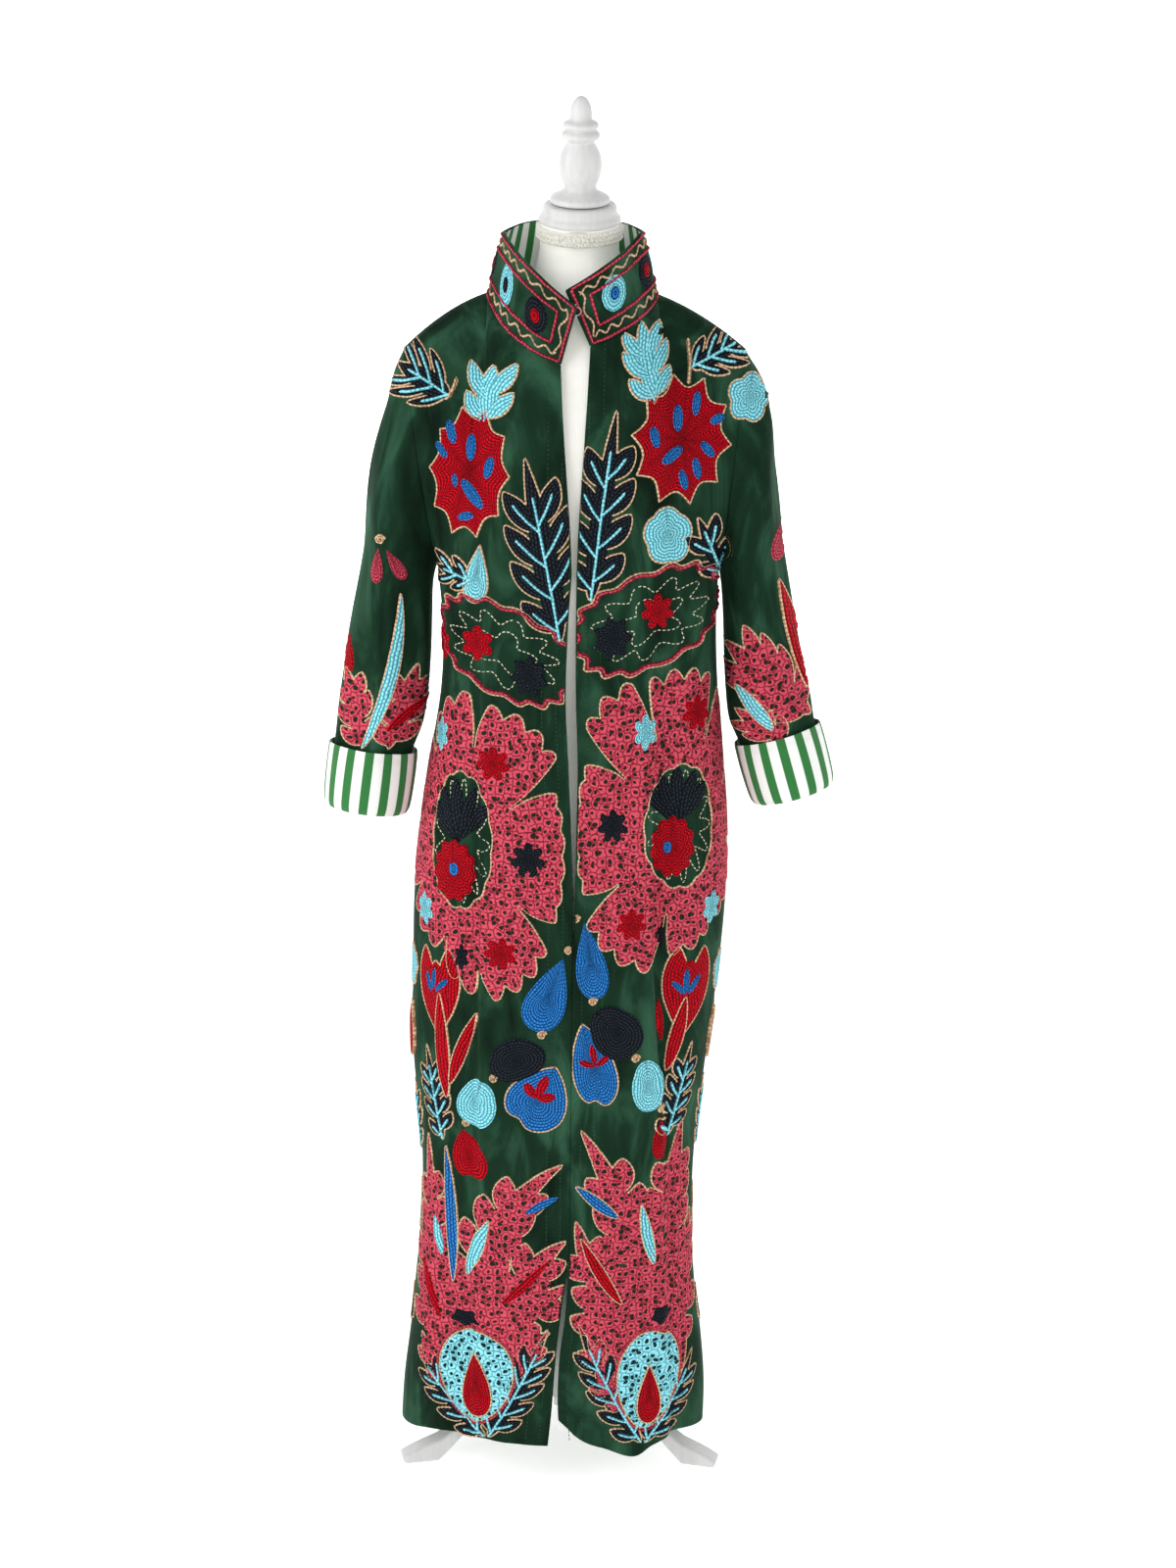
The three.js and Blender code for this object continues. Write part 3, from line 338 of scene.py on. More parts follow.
def lower_point(side, facing, across, z, folds=True):
    """The body below the underarm: the section moved out along its own normal by the relief."""
    across, z = floats(across, z)
    point = section(side, facing, across, z)
    if not folds:
        return point
    tangent = section(side, facing, across + 0.01, z) - section(side, facing, across - 0.01, z)
    normal = unit(np.stack([tangent[..., 1], -tangent[..., 0], 0 * z], -1))
    outwards = normal[..., 0] * SIGN[side] + normal[..., 1] * facing
    half = smooth(BODY, "z", z, side)
    relief = front_relief(side, point[..., 0], z, half) if facing < 0 else back_relief(point[..., 0], z, half)
    return point + normal * (np.sign(outwards) * relief)[..., None]


def top_point(side, facing, across):
    """Top edge of a front or of the back: the neckline first, then the shoulder seam."""
    neck_at = NECK_AT[facing]
    last = len(COLLAR["row"]) - 1
    start = last / 2 if facing > 0 else (0 if side == "right" else last)
    row = start + (NECK_ROW[side] - start) * np.clip(across / neck_at, 0, 1)
    seam = shoulder(side, np.clip((across - neck_at) / (1 - neck_at), 0, 1))
    return np.where((across >= neck_at)[..., None], seam, neckline(row))


def upper_point(side, facing, across, up, folds=True):
    """The body above the underarm (up 0) to the top edge (up 1).

    Each column is a cubic that leaves the underarm upright and leans over the shoulder. The cube of
    across is the weight with which a column is pulled to the armhole.
    """
    across, up = floats(across, up)
    base = lower_point(side, facing, across, 0 * across + UNDERARM_Z, folds=False)
    top = top_point(side, facing, across)
    over = smoothstep(across / NECK_AT[facing])
    even = smoothstep(up) * 0.5 + up * 0.5

    def column(low, high, lean, end_rise):
        rise = (high[..., 2] - low[..., 2]) * 1.05
        return np.stack([
            lerp(low[..., 0], high[..., 0], even),
            hermite(low[..., 1], high[..., 1], facing * 14, -facing * lean, up),
            hermite(low[..., 2], high[..., 2], rise, end_rise, up),
        ], -1)

    point = column(base, top, lerp(*LEAN[facing], over), lerp(*END_RISE[facing], over))
    outer = column(UNDERARM[side], TIP[side], LEAN[facing][1], END_RISE[facing][1])
    point = point + (armhole(side, up, facing) - outer) * (across ** 3)[..., None]
    if folds:
        if facing < 0:
            relief = front_relief(side, point[..., 0], point[..., 2], 1e3)
        else:
            relief = pucker(point[..., 0], point[..., 2])
        point[..., 1] += facing * relief * (1 - across ** 2) * smoothstep((1 - up) / 0.08)
    return point


def cuff_frame(side):
    """Middle of a cuff's lower fold, and unit vectors up the sleeve and across to the outer side."""
    low, top = np.array(CUFFS[side], float)
    up = unit(top - low)
    return low, up, np.array([up[2], 0, -up[0]]) * SIGN[side]


def sleeve_rows(side):
    """The sleeve's table with the three sections inside the cuff added."""
    low, up, across = cuff_frame(side)
    table = {name: list(values) for name, values in SLEEVES[side].items()}
    for height in (CUFF_HEIGHT, CUFF_HEIGHT / 2, SLEEVE_END_UP):
        middle = low + up * height
        for name, sign in (("out", 1), ("in", -1)):
            point = middle + across * CUFF_HALF_WIDTH * sign
            table[name + "_x"].append(point[0])
            table[name + "_z"].append(point[2])
        table["depth"].append(CUFF_HALF_DEPTH)
        table["y"].append(middle[1])
    return table


SLEEVE_TABLES = {side: sleeve_rows(side) for side in SIGN}


def sleeve_point(side, angle, down, folds=True):
    """A sleeve as ovals between its outer and inner line; angle in radians from the outer line forward."""
    angle, down = floats(angle, down)
    table = SLEEVE_TABLES[side]
    value = {name: smooth(table, "row", down * 8, name) for name in table if name != "row"}
    relief = 0 * angle
    degrees = np.degrees(angle) % 360
    for at, low, high, width, height in SLEEVE_RIDGES:
        swell = np.sin(np.pi * np.clip((down - low) / (high - low), 0, 1)) ** 2
        relief = relief + height * swell * np.exp(-((degrees - at) / width) ** 2)
    if folds:
        fade = smoothstep(down / 0.08) * smoothstep((0.8 - down) / 0.1)
        creases = 2.4 * np.sin(3 * angle + 9 * down) * np.sin(17 * down + 2 * np.cos(angle))
        relief = relief + fade * (creases + 0.8 * np.sin(7 * angle + 31 * down))
    share = (1 + np.cos(angle)) / 2
    return np.stack([
        lerp(value["in_x"], value["out_x"], share) + SIGN[side] * relief * np.maximum(0, np.cos(angle)),
        value["y"] - np.sin(angle) * (value["depth"] + relief),
        lerp(value["in_z"], value["out_z"], share),
    ], -1)


def collar_point(along, up):
    """The stand collar: the line between its lower and upper edge; along 0 to 14, up 0 to 1."""
    along, up = floats(along, up)
    low = neckline(along) + np.array([0, 0, SEAM_GAP * 3])
    high = np.stack([smooth(COLLAR, "row", along, axis) for axis in ("top_x", "top_y", "top_z")], -1)
    point = lerp(low, high, up[..., None])
    swell = 1.6 * np.sin(np.pi * up) * np.sin(along * 1.9 + 0.4)
    return point + unit(point * np.array([1, 1, 0])) * swell[..., None]


# ---------------- meshes
def grid_faces(rows, columns, closed=False):
    """Quads of a grid of rows by columns, counted row by row; closed joins the last column to the first."""
    steps = columns if closed else columns - 1
    row, column = np.meshgrid(np.arange(rows - 1), np.arange(steps), indexing="ij")
    after = (column + 1) % columns
    quads = np.stack([row * columns + column, row * columns + after,
                      (row + 1) * columns + after, (row + 1) * columns + column], -1)
    return quads.reshape(-1, 4)


def make_piece(name, points, faces, materials, face_materials=None, uv=None, sharp=math.radians(40)):
    """A mesh object from points in mm and faces; in an array a repeated last corner makes a triangle."""
    mesh = bpy.data.meshes.new(name)
    points = (np.asarray(points, float).reshape(-1, 3) + AXIS) / 1000
    if isinstance(faces, np.ndarray):
        faces = [face[:3] if face[2] == face[3] else face for face in faces.tolist()]
    mesh.from_pydata(points.tolist(), [], faces)
    for material in materials:
        mesh.materials.append(material)
    if face_materials is not None:
        mesh.polygons.foreach_set("material_index", np.asarray(face_materials, np.int32))
    if uv is not None:
        layer = mesh.uv_layers.new(name="rows")
        corner = np.zeros(len(mesh.loops), np.int32)
        mesh.loops.foreach_get("vertex_index", corner)
        layer.data.foreach_set("uv", np.asarray(uv, np.float32)[corner].ravel())
    mesh.polygons.foreach_set("use_smooth", np.ones(len(mesh.polygons), bool))
    mesh.set_sharp_from_angle(angle=sharp)
    mesh.update()
    return add_object(name, mesh)


def fasten(piece, slot, *nodes):
    """Puts a piece on the part's one body, in place of its solids."""
    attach(piece, "root")
    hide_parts(*nodes)
    return piece


def grid_normals(grid, closed=False):
    """Unit normals of a grid: the cross product of its differences along columns and along rows."""
    across = np.roll(grid, -1, 1) - np.roll(grid, 1, 1) if closed else np.gradient(grid, axis=1)
    return unit(np.cross(across, np.gradient(grid, axis=0)))


def wall_mesh(grid, normals, thickness, closed=False, rolled=()):
    """A closed wall between a grid and the same grid moved in along its normals.

    On the sides named in rolled ("bottom", "top", "start", "end") the edge is a folded one: its
    middle line stands out by a third of the thickness. Returns points, faces and, for each face,
    0 for the outer side and the edges and 1 for the lining.
    """
    rows, columns = grid.shape[:2]
    inner = grid - normals * thickness
    count = rows * columns
    numbers = np.arange(count).reshape(rows, columns)
    points = [grid.reshape(-1, 3), inner.reshape(-1, 3)]
    outer_faces = grid_faces(rows, columns, closed)
    faces = [outer_faces, outer_faces[:, ::-1] + count]
    kinds = [np.zeros(len(outer_faces), int), np.ones(len(outer_faces), int)]
    sides = {"bottom": (numbers[0][::-1], grid[0] - grid[1]), "top": (numbers[-1], grid[-1] - grid[-2])}
    if not closed:
        sides["start"] = (numbers[:, 0], grid[:, 0] - grid[:, 1])
        sides["end"] = (numbers[::-1, -1], grid[:, -1] - grid[:, -2])
    total = 2 * count
    for name, (line, out) in sides.items():
        out = unit(out[::-1] if name in ("bottom", "end") else out)
        rise = thickness / 3 if name in rolled else 0
        points.append((points[0][line] + points[1][line]) / 2 + out * rise)
        edge = [line, np.arange(len(line)) + total, line + count]
        total += len(line)
        if closed:
            edge = [np.append(a, a[:1]) for a in edge]
        for a, b in zip(edge, edge[1:]):
            faces.append(np.stack([a[1:], a[:-1], b[:-1], b[1:]], -1))
            kinds.append(np.zeros(len(a) - 1, int))
    return np.concatenate(points), np.concatenate(faces), np.concatenate(kinds)


def facing_out(points, faces):
    """The faces, all turned round if the volume that they enclose comes out negative."""
    a, b, c, d = (points[faces[:, i]] for i in range(4))
    volume = (a * np.cross(b, c)).sum() + (a * np.cross(c, d)).sum()
    return faces if volume > 0 else faces[:, ::-1]


def lathe(profile, count, close=False):
    """A profile of (radius, height) turned round the z axis."""
    radius, height = np.array(profile, float).T[..., None]
    grid = on_circle(radius, around(count), height)
    return np.concatenate([grid, grid[:1]]) if close else grid


def lean(points):
    """Turns points of the head end forward about x by HEAD_LEAN and puts them on the neck."""
    c, s = math.cos(HEAD_LEAN), math.sin(HEAD_LEAN)
    turn = np.array([[1, 0, 0], [0, c, -s], [0, s, c]])
    return points @ turn.T + np.array(HEAD_AT)


def grid_piece(name, grid, materials, sharp):
    """A closed body through rings of points; rings of no size at the ends are its poles."""
    faces = facing_out(grid.reshape(-1, 3), grid_faces(*grid.shape[:2], closed=True))
    return welded(make_piece(name, grid, faces, materials), sharp)


def welded(piece, sharp=math.radians(40), turned=False):
    """Merges points that lie on each other, so that poles and seams are closed; turned turns faces out."""
    work = bmesh.new()
    work.from_mesh(piece.data)
    bmesh.ops.remove_doubles(work, verts=work.verts, dist=2e-6)
    bmesh.ops.dissolve_degenerate(work, edges=work.edges, dist=1e-6)
    if turned:
        bmesh.ops.recalc_face_normals(work, faces=work.faces)
    work.to_mesh(piece.data)
    work.free()
    piece.data.set_sharp_from_angle(angle=sharp)
    return piece


def with_poles(rings):
    """Rings of points with the middle of the first and of the last one as closing rings of no size."""
    ends = rings[[0, -1]].mean(1, keepdims=True).repeat(rings.shape[1], 1)
    return np.concatenate([ends[:1], rings, ends[1:]])


def tube_grid(path, radius, count):
    """A round section carried along a path, each ring across the path's own direction."""
    ahead = unit(np.gradient(path, axis=0))
    side = unit(np.cross(ahead, np.array([0.13, 0.97, 0.2])))
    other = np.cross(ahead, side)
    angle = around(count)[:, None]
    ring = side[:, None] * np.cos(angle) + other[:, None] * np.sin(angle)
    return with_poles(path[:, None] + ring * radius)


# ---------------- cloth panels
def along_fold(side, column, z):
    """Share across a front for a grid column, so that column FOLD_COLUMN lies on the long fold."""
    ratio = np.clip(smooth(FOLD[side], "z", z, "x") / smooth(BODY, "z", z, side), 0, 1)
    fold_at = np.arcsin(ratio ** (1 / SECTION_POWER)) / (np.pi / 2)
    beyond = fold_at + (1 - fold_at) * (column - FOLD_COLUMN) / (1 - FOLD_COLUMN)
    return np.where(column < FOLD_COLUMN, fold_at * column / FOLD_COLUMN, beyond)


def seam_edges(side, facing, grid, normals, edge, across):
    """Sets the normals along side seam, armhole and shoulder, and opens each seam by half the gap."""
    up = (np.arange(len(grid)) - LOWER_ROWS) / UPPER_ROWS
    upper = up >= 0
    normals[~upper, edge] = (SIGN[side], 0, 0)
    normals[upper, edge] = armhole_normal(side, up[upper], facing)
    grid[up <= 0, edge, 1] += facing * SEAM_GAP / 2
    neck_at = NECK_AT[facing]
    seam = across >= neck_at
    grid[-1, seam, 1] += facing * SEAM_GAP / 2
    seam[edge] = False
    share = (across[seam] - neck_at) / (1 - neck_at)
    line = shoulder(side, np.minimum(1, share + 0.05)) - shoulder(side, np.maximum(0, share - 0.05))
    normals[-1, seam] = unit(np.stack([-line[:, 2], 0 * share, line[:, 0]], -1)) * SIGN[side]


def front_grid(side):
    """One front: columns from the front edge to the side seam, rows from the hem to the top edge."""
    spans = (0, 0.35, 26), (0.36, 0.48, 22), (0.495, 1, 34)        # finest at the fold
    column = np.concatenate([np.linspace(*span) for span in spans])
    hem = smooth(HEM[side], "at", along_fold(side, column, np.full(len(column), 30.0)), "z")
    up = np.arange(LOWER_ROWS)[:, None] / LOWER_ROWS
    z = lerp(hem[None], UNDERARM_Z, up)
    lower = lower_point(side, -1, along_fold(side, column[None] + 0 * z, z), z)
    up = np.linspace(0, 1, UPPER_ROWS + 1)[:, None]
    at_underarm = along_fold(side, column, np.full(len(column), float(UNDERARM_Z)))
    upper = upper_point(side, -1, lerp(at_underarm[None], column[None], smoothstep(up)), up)
    grid = np.concatenate([lower, upper])
    normals = grid_normals(grid) * SIGN[side]
    seam_edges(side, -1, grid, normals, -1, column)
    return grid, normals


def back_grid():
    """The back in one piece, from the wearer's right side seam to the left one."""
    share = np.linspace(-1, 1, 131)
    halves = []
    for side, chosen in (("right", share < 0), ("left", share >= 0)):
        across = np.abs(share[chosen])
        z = lerp(HEM[side]["z"][-1], UNDERARM_Z, np.arange(LOWER_ROWS)[:, None] / LOWER_ROWS)
        lower = lower_point(side, 1, across[None] + 0 * z, z + 0 * across[None])
        upper = upper_point(side, 1, across[None], np.linspace(0, 1, UPPER_ROWS + 1)[:, None])
        halves.append(np.concatenate([lower, upper]))
    grid = np.concatenate(halves, 1)
    normals = -grid_normals(grid)
    seam_edges("right", 1, grid, normals, 0, np.where(share < 0, -share, -1))
    seam_edges("left", 1, grid, normals, -1, np.where(share > 0, share, -1))
    return grid, normals


def sleeve_grid(side):
    """One sleeve: rings from the armhole down to inside the cuff."""
    angle = around(120)
    grid = sleeve_point(side, angle[None], np.linspace(0, 1, 120)[:, None])
    grid[0, :, 0] += SIGN[side] * SEAM_GAP * 2.4
    normals = grid_normals(grid, closed=True) * SIGN[side]
    share = np.arccos(-np.cos(angle)) / np.pi
    for facing, chosen in ((-1, angle < np.pi), (1, angle >= np.pi)):
        normals[0, chosen] = armhole_normal(side, share[chosen], facing)
    return grid, normals


def cut_size(grid, closed=False):
    """Width and length that a panel was cut to, in metres: its longest row and its longest column."""
    columns = grid.transpose(1, 0, 2)
    if closed:
        columns = np.concatenate([columns, columns[:1]])
    return tuple(float(lengths(lines)[-1].max()) / 1000 for lines in (columns, grid))


# ---------------- places on the coat for embroidery
def newton(point_at, first, second, x, z, steps=30):
    """The two parameters at which point_at gives x and z, by Newton's steps with slopes by difference."""
    small = 1e-3
    for _ in range(steps):
        here = point_at(first, second)
        by_first = (point_at(first + small, second) - here) / small
        by_second = (point_at(first, second + small) - here) / small
        miss_x, miss_z = x - here[..., 0], z - here[..., 2]
        area = by_first[..., 0] * by_second[..., 2] - by_first[..., 2] * by_second[..., 0]
        area = np.where(np.abs(area) < 1, np.where(area < 0, -1, 1), area)
        step_first = (miss_x * by_second[..., 2] - miss_z * by_second[..., 0]) / area
        step_second = (miss_z * by_first[..., 0] - miss_x * by_first[..., 2]) / area
        first = np.clip(first + np.clip(step_first, -0.1, 0.1), 0, 1 - small)
        second = np.clip(second + np.clip(step_second, -0.1, 0.1), 0, 1 - small)
    here = point_at(first, second)
    return here, np.hypot(here[..., 0] - x, here[..., 2] - z)


def find_on_sleeve(side, facing, x, z, share, down):
    """Newton's search on a sleeve's forward or rear half, from a share of its width and a way down."""
    return newton(lambda a, b: sleeve_point(side, -facing * np.arccos(np.clip(2 * a - 1, -1, 1)), b),
                  np.clip(share, 0.1, 0.9), np.clip(down, 0, 1), x, z)


def make_panel(places, heights, table, there, least, most, sign, bottom, centre=0.0):
    """A table of points with outward normals: away from the garment's or the sleeve's middle line."""
    normals = grid_normals(table)
    normals[(normals[..., :2] * (table[..., :2] - (centre, 0))).sum(-1) < 0] *= -1
    return dict(places=places, heights=heights, table=table, normals=normals, there=there.astype(float),
                least=least, most=most, sign=sign, bottom=bottom)


def half_panel(side, facing, bottom):
    """Points of one half of the coat, by height (rows) and distance from the middle (columns).

    Below the underarm a distance is counted square-on up to WRAP_FROM of the half width, and from
    there along the cloth. Above it the point of the body or, beyond the armhole, of the sleeve is
    taken that shows at this distance and height. Also gives the least and the greatest distance
    and whether there is cloth.
    """
    sign = SIGN[side]
    heights = np.arange(36, 1452, TABLE_STEP)
    places = np.arange(-24 if facing < 0 else 0, 340, TABLE_STEP)
    table = np.zeros((len(heights), len(places), 3))
    there = np.ones((len(heights), len(places)), bool)
    least, most = np.zeros(len(heights)), np.full(len(heights), places[-1])
    across = np.linspace(0, 1, 500)
    below = heights < UNDERARM_Z
    for i in np.flatnonzero(below):
        z = heights[i]
        line = lower_point(side, facing, across, z + 0 * across)
        half = smooth(BODY, "z", z, side)
        x = line[:, 0] * sign
        arc = lengths(line[:, :2])
        start = np.interp(WRAP_FROM * half, x, arc)
        wrapped = np.maximum(0, (arc - start) - (x - WRAP_FROM * half)) * (x > WRAP_FROM * half)
        place = x + smoothstep((UNDERARM_Z - z) / WRAP_FADE) * wrapped
        place = np.maximum.accumulate(place + 1e-6 * np.arange(len(place)))
        least[i], most[i] = place[0], place[-1]
        for axis in range(3):
            table[i, :, axis] = np.interp(places, place, line[:, axis])
    k, z = np.meshgrid(places, heights[~below])
    body, miss = newton(lambda a, b: upper_point(side, facing, a, b),
                        np.clip(k / 190, 0, 1), np.clip((z - UNDERARM_Z) / 280, 0, 1), k * sign, z)
    edge = np.abs(lower_point(side, facing, 0.0, float(UNDERARM_Z))[0])
    sleeve, sleeve_miss = find_on_sleeve(side, facing, k * sign, z, (k - SLEEVE_FROM) / 90,
                                           (1364 - z) / 500)
    on_sleeve = (miss > 1.0) & (k > SLEEVE_FROM)
    table[~below] = np.where(on_sleeve[..., None], sleeve, body)
    there[~below] = np.where(on_sleeve, sleeve_miss < FOUND, (miss < FOUND) | (k < edge + 24))
    least[~below] = edge if facing < 0 else 0
    return make_panel(places, heights, table, there, least, most, sign, bottom)


def sleeve_panel(side, facing):
    """Points of the forward or rear half of a sleeve, by height and distance from the coat's middle."""
    heights = np.arange(800, 1380, TABLE_STEP)
    places = np.arange(140, 320, TABLE_STEP)
    k, z = np.meshgrid(places, heights)
    table, miss = find_on_sleeve(side, facing, k * SIGN[side], z, (k - 170) / 100, (1364 - z) / 560)
    low, up, _ = cuff_frame(side)
    there = (miss < FOUND) & ((table - low) @ up > CUFF_HEIGHT - 6)
    return make_panel(places, heights, table, there, np.full(len(heights), 140.0),
                      np.full(len(heights), 320.0), SIGN[side], 800, SIGN[side] * 215.0)


def collar_panel():
    """Points of the stand collar, by height above its lower edge and length along its middle line."""
    along = np.linspace(0, 14, 600)
    length = lengths(collar_point(along, 0.5))
    places = np.arange(0, length[-1] + 0.1, TABLE_STEP)
    heights = np.arange(0, COLLAR_TALL + 1, TABLE_STEP)
    table = collar_point(np.interp(places, length, along)[None], (heights / COLLAR_TALL)[:, None])
    return make_panel(places, heights, table, np.ones(table.shape[:2]), 0 * heights,
                      np.full(len(heights), places[-1]), 1, -1)


def look_up(panel, values, x, z):
    """Bilinear reading of a panel's table of values at distances x and heights z."""
    places, heights = panel["places"], panel["heights"]
    column = np.clip((x - places[0]) / (places[1] - places[0]), 0, len(places) - 1.001)
    row = np.clip((z - heights[0]) / (heights[1] - heights[0]), 0, len(heights) - 1.001)
    i, j = row.astype(int), column.astype(int)
    a, b = (row - i), (column - j)
    if values.ndim == 3:
        a, b = a[:, None], b[:, None]
    return ((1 - a) * (1 - b) * values[i, j] + (1 - a) * b * values[i, j + 1]
            + a * (1 - b) * values[i + 1, j] + a * b * values[i + 1, j + 1])


# ---------------- stitches, flat on a panel
class Work:
    """The embroidery of one piece: flat points (x, z) with a height, faces with a thread, thread rows.

    Threads worked in rings take their places on the cloth instead of rows, so that the rings run on.
    """

    def __init__(self):
        self.points, self.faces, self.threads, self.rows, self.count = [], [], [], [], 0

    def add(self, flat, height, faces, thread, rows):
        flat = np.asarray(flat, float).reshape(-1, 2)
        height = np.broadcast_to(np.asarray(height, float).ravel(), len(flat))
        self.points.append(np.column_stack([flat, height]))
        self.rows.append(flat if YARNS[thread][1] == looped else np.asarray(rows, float).reshape(-1, 2))
        self.faces.append(faces + self.count)
        self.threads.append(np.full(len(faces), list(YARNS).index(thread)))
        self.count += len(flat)


HALF_LINK = 2.1                                      # mm, of chain stitch
RIM_POINTS = 3.0                                     # mm between them along a rim
RIM_STEPS = np.array([0, 0.05, 1.1, 2.6])            # mm in from a filled area's rim
RIM_HEIGHTS = np.array([-0.5, 0.45, 1.05, 1.3])      # height of the stitches there; the rim is sunk


def resampled(path, step, closed=False):
    """Points at even steps along a path."""
    path = np.asarray(path, float)
    if closed:
        path = np.concatenate([path, path[:1]])
    length = lengths(path)
    count = max(3, int(round(length[-1] / step)) + 1)
    at = np.linspace(0, length[-1], count)
    points = np.column_stack([np.interp(at, length, path[:, i]) for i in range(2)])
    return points[:-1] if closed else points


def inward(width, both):
    """Shares of the way across a width, for every point of a rim, and the heights there.

    The first rows follow the rim at fixed distances, the rest are even and about 4.5 mm apart.
    """
    width = np.maximum(width, 0.1)
    near = np.minimum(RIM_STEPS[:, None] / width, [[0], [0.01], [0.15], [0.3]])
    rows = max(2, int(np.percentile(width, 80) / 4.5))
    far = 1 - near[-1] if both else np.ones_like(width)
    even = lerp(near[-1], far, np.linspace(0, 1, rows + 1)[1:, None])
    heights = np.concatenate([RIM_HEIGHTS, np.full(rows, RIM_HEIGHTS[-1])])
    if both:
        near_end = 1 - near[-2::-1]
        return np.concatenate([near, even, near_end]), np.concatenate([heights, RIM_HEIGHTS[-2::-1]])
    return np.concatenate([near, even]), heights


def fill(work, rim, thread, inner=None, lift=0.0):
    """A filled area between a closed rim and its middle (or an inner rim): rings shrunk towards it."""
    rim = resampled(rim, RIM_POINTS, closed=True)
    if inner is None:
        target = np.broadcast_to(rim.mean(0), rim.shape)
    else:
        inner = resampled(inner, RIM_POINTS, closed=True)
        pick = np.linspace(0, len(inner), len(rim), endpoint=False)
        pick = (pick + np.argmin(np.linalg.norm(inner - rim[0], axis=1))) % len(inner)
        low, share = pick.astype(int), (pick % 1)[:, None]
        target = lerp(inner[low], inner[(low + 1) % len(inner)], share)
    width = np.linalg.norm(rim - target, axis=1)
    shares, heights = inward(width, inner is not None)
    flat = lerp(rim[None], target[None], shares[..., None])
    rows = np.stack(floats(np.arange(len(rim)) * RIM_POINTS, shares * width), -1)
    height = np.repeat(heights + lift * (heights > 0), len(rim))
    work.add(flat, height, grid_faces(len(shares), len(rim), closed=True), thread, rows)


def strip(work, left, right, thread, lift=0.0):
    """A filled area between two lines of equal count, such as the two sides of a leaf."""
    width = np.linalg.norm(left - right, axis=1)
    shares, heights = inward(width, True)
    flat = lerp(left[None], right[None], shares[..., None])
    height = np.broadcast_to((heights + lift * (heights > 0))[:, None], shares.shape).copy()
    height[:, [0, -1]] = -0.5
    length = np.arange(len(left)) * np.linalg.norm(left[1:] - left[:-1], axis=1).mean()
    rows = np.stack(floats(length, shares * width), -1)
    work.add(flat, height, grid_faces(len(shares), len(left)), thread, rows)


def cord(work, path, thread, radius=1.25, closed=False, lift=0.35):
    """A row of chain stitch: an arch carried along a path, wider and narrower with each link."""
    path = resampled(path, HALF_LINK, closed)
    ahead = np.roll(path, -1, 0) - np.roll(path, 1, 0) if closed else np.gradient(path, axis=0)
    normal = unit(np.column_stack([ahead[:, 1], -ahead[:, 0]]))
    link = np.where(np.arange(len(path)) % 2, 1.12, 0.86)
    if not closed:
        link[[0, -1]] = 0.25
    size = radius * link
    arch = np.array([(-1.15, -0.9), (-0.8, 0.35), (0, 1), (0.8, 0.35), (1.15, -0.9)])
    flat = path[:, None] + normal[:, None] * (arch[:, 0] * size[:, None])[..., None]
    height = lift + arch[:, 1] * size[:, None]
    height[:, [0, -1]] = -0.4
    along = np.arange(len(path)) * HALF_LINK
    rows = np.stack(floats(along[:, None], arch[:, 0] * radius), -1)
    faces = grid_faces(len(path), 5) if not closed else grid_faces(len(path) + 1, 5) % (len(path) * 5)
    work.add(flat, height, faces, thread, rows)


def running(work, path, thread, closed=False, length=3.6, gap=1.8, width=0.75, height=0.75):
    """Running stitch: short raised bars with gaps, each a flat-bottomed pyramid roof along the path."""
    path = resampled(path, (length + gap) / 2, closed)
    starts = path[:-1:2]
    ends = path[1::2][:len(starts)]
    starts = starts[:len(ends)]
    if not len(starts):
        return
    ahead = unit(ends - starts)
    ends = starts + ahead * length
    side = np.column_stack([ahead[:, 1], -ahead[:, 0]]) * width
    corners = np.stack([starts - side, ends - side, ends + side, starts + side,
                        starts + ahead * 0.5, ends - ahead * 0.5], 1)
    heights = np.tile([-0.2, -0.2, -0.2, -0.2, height, height], len(starts))
    quads = np.array([[0, 1, 5, 4], [3, 4, 5, 2], [0, 4, 3, 3], [1, 2, 5, 5]])
    faces = (quads[None] + np.arange(len(starts))[:, None, None] * 6).reshape(-1, 4)
    rows = np.tile([(0, 0), (3, 0), (3, 1), (0, 1), (0, 0.5), (3, 0.5)], (len(starts), 1))
    work.add(corners.reshape(-1, 2), heights, faces, thread, rows)


# ---------------- outlines of motifs
def place(points, x, z, turn):
    """Moves a shape drawn upright about the origin: turned clockwise by turn degrees, then shifted."""
    c, s = math.cos(math.radians(turn)), math.sin(math.radians(turn))
    return points @ np.array([[c, -s], [s, c]]) + (x, z)


def oval(angle, width, height, radius=1.0):
    """An oval clockwise from its top, its radius 1 or a row of values."""
    return np.column_stack([np.sin(angle) * radius * width / 2, np.cos(angle) * radius * height / 2])


def petalled(width, height, petals, depth):
    """An oval whose radius is 1 less depth times (1 less the absolute cosine): petals with notches."""
    angle = around(160)
    return oval(angle, width, height, 1 - depth * (1 - np.abs(np.cos(petals * angle / 2))))


def pointed(width, height, points, depth):
    """An oval whose radius is 1 less depth times the absolute cosine: hollow sides between points."""
    angle = around(160)
    return oval(angle, width, height, 1 - depth * np.abs(np.cos(points * angle / 2)) ** 0.8)


def teardrop(width, height):
    """A drop with its tip up: x is the sine of the angle times a power of the sine of half of it."""
    angle = around(90)
    return oval(angle, width, height) * np.stack([np.sin(angle / 2) ** 1.3 / 0.8, 1 + 0 * angle], -1)


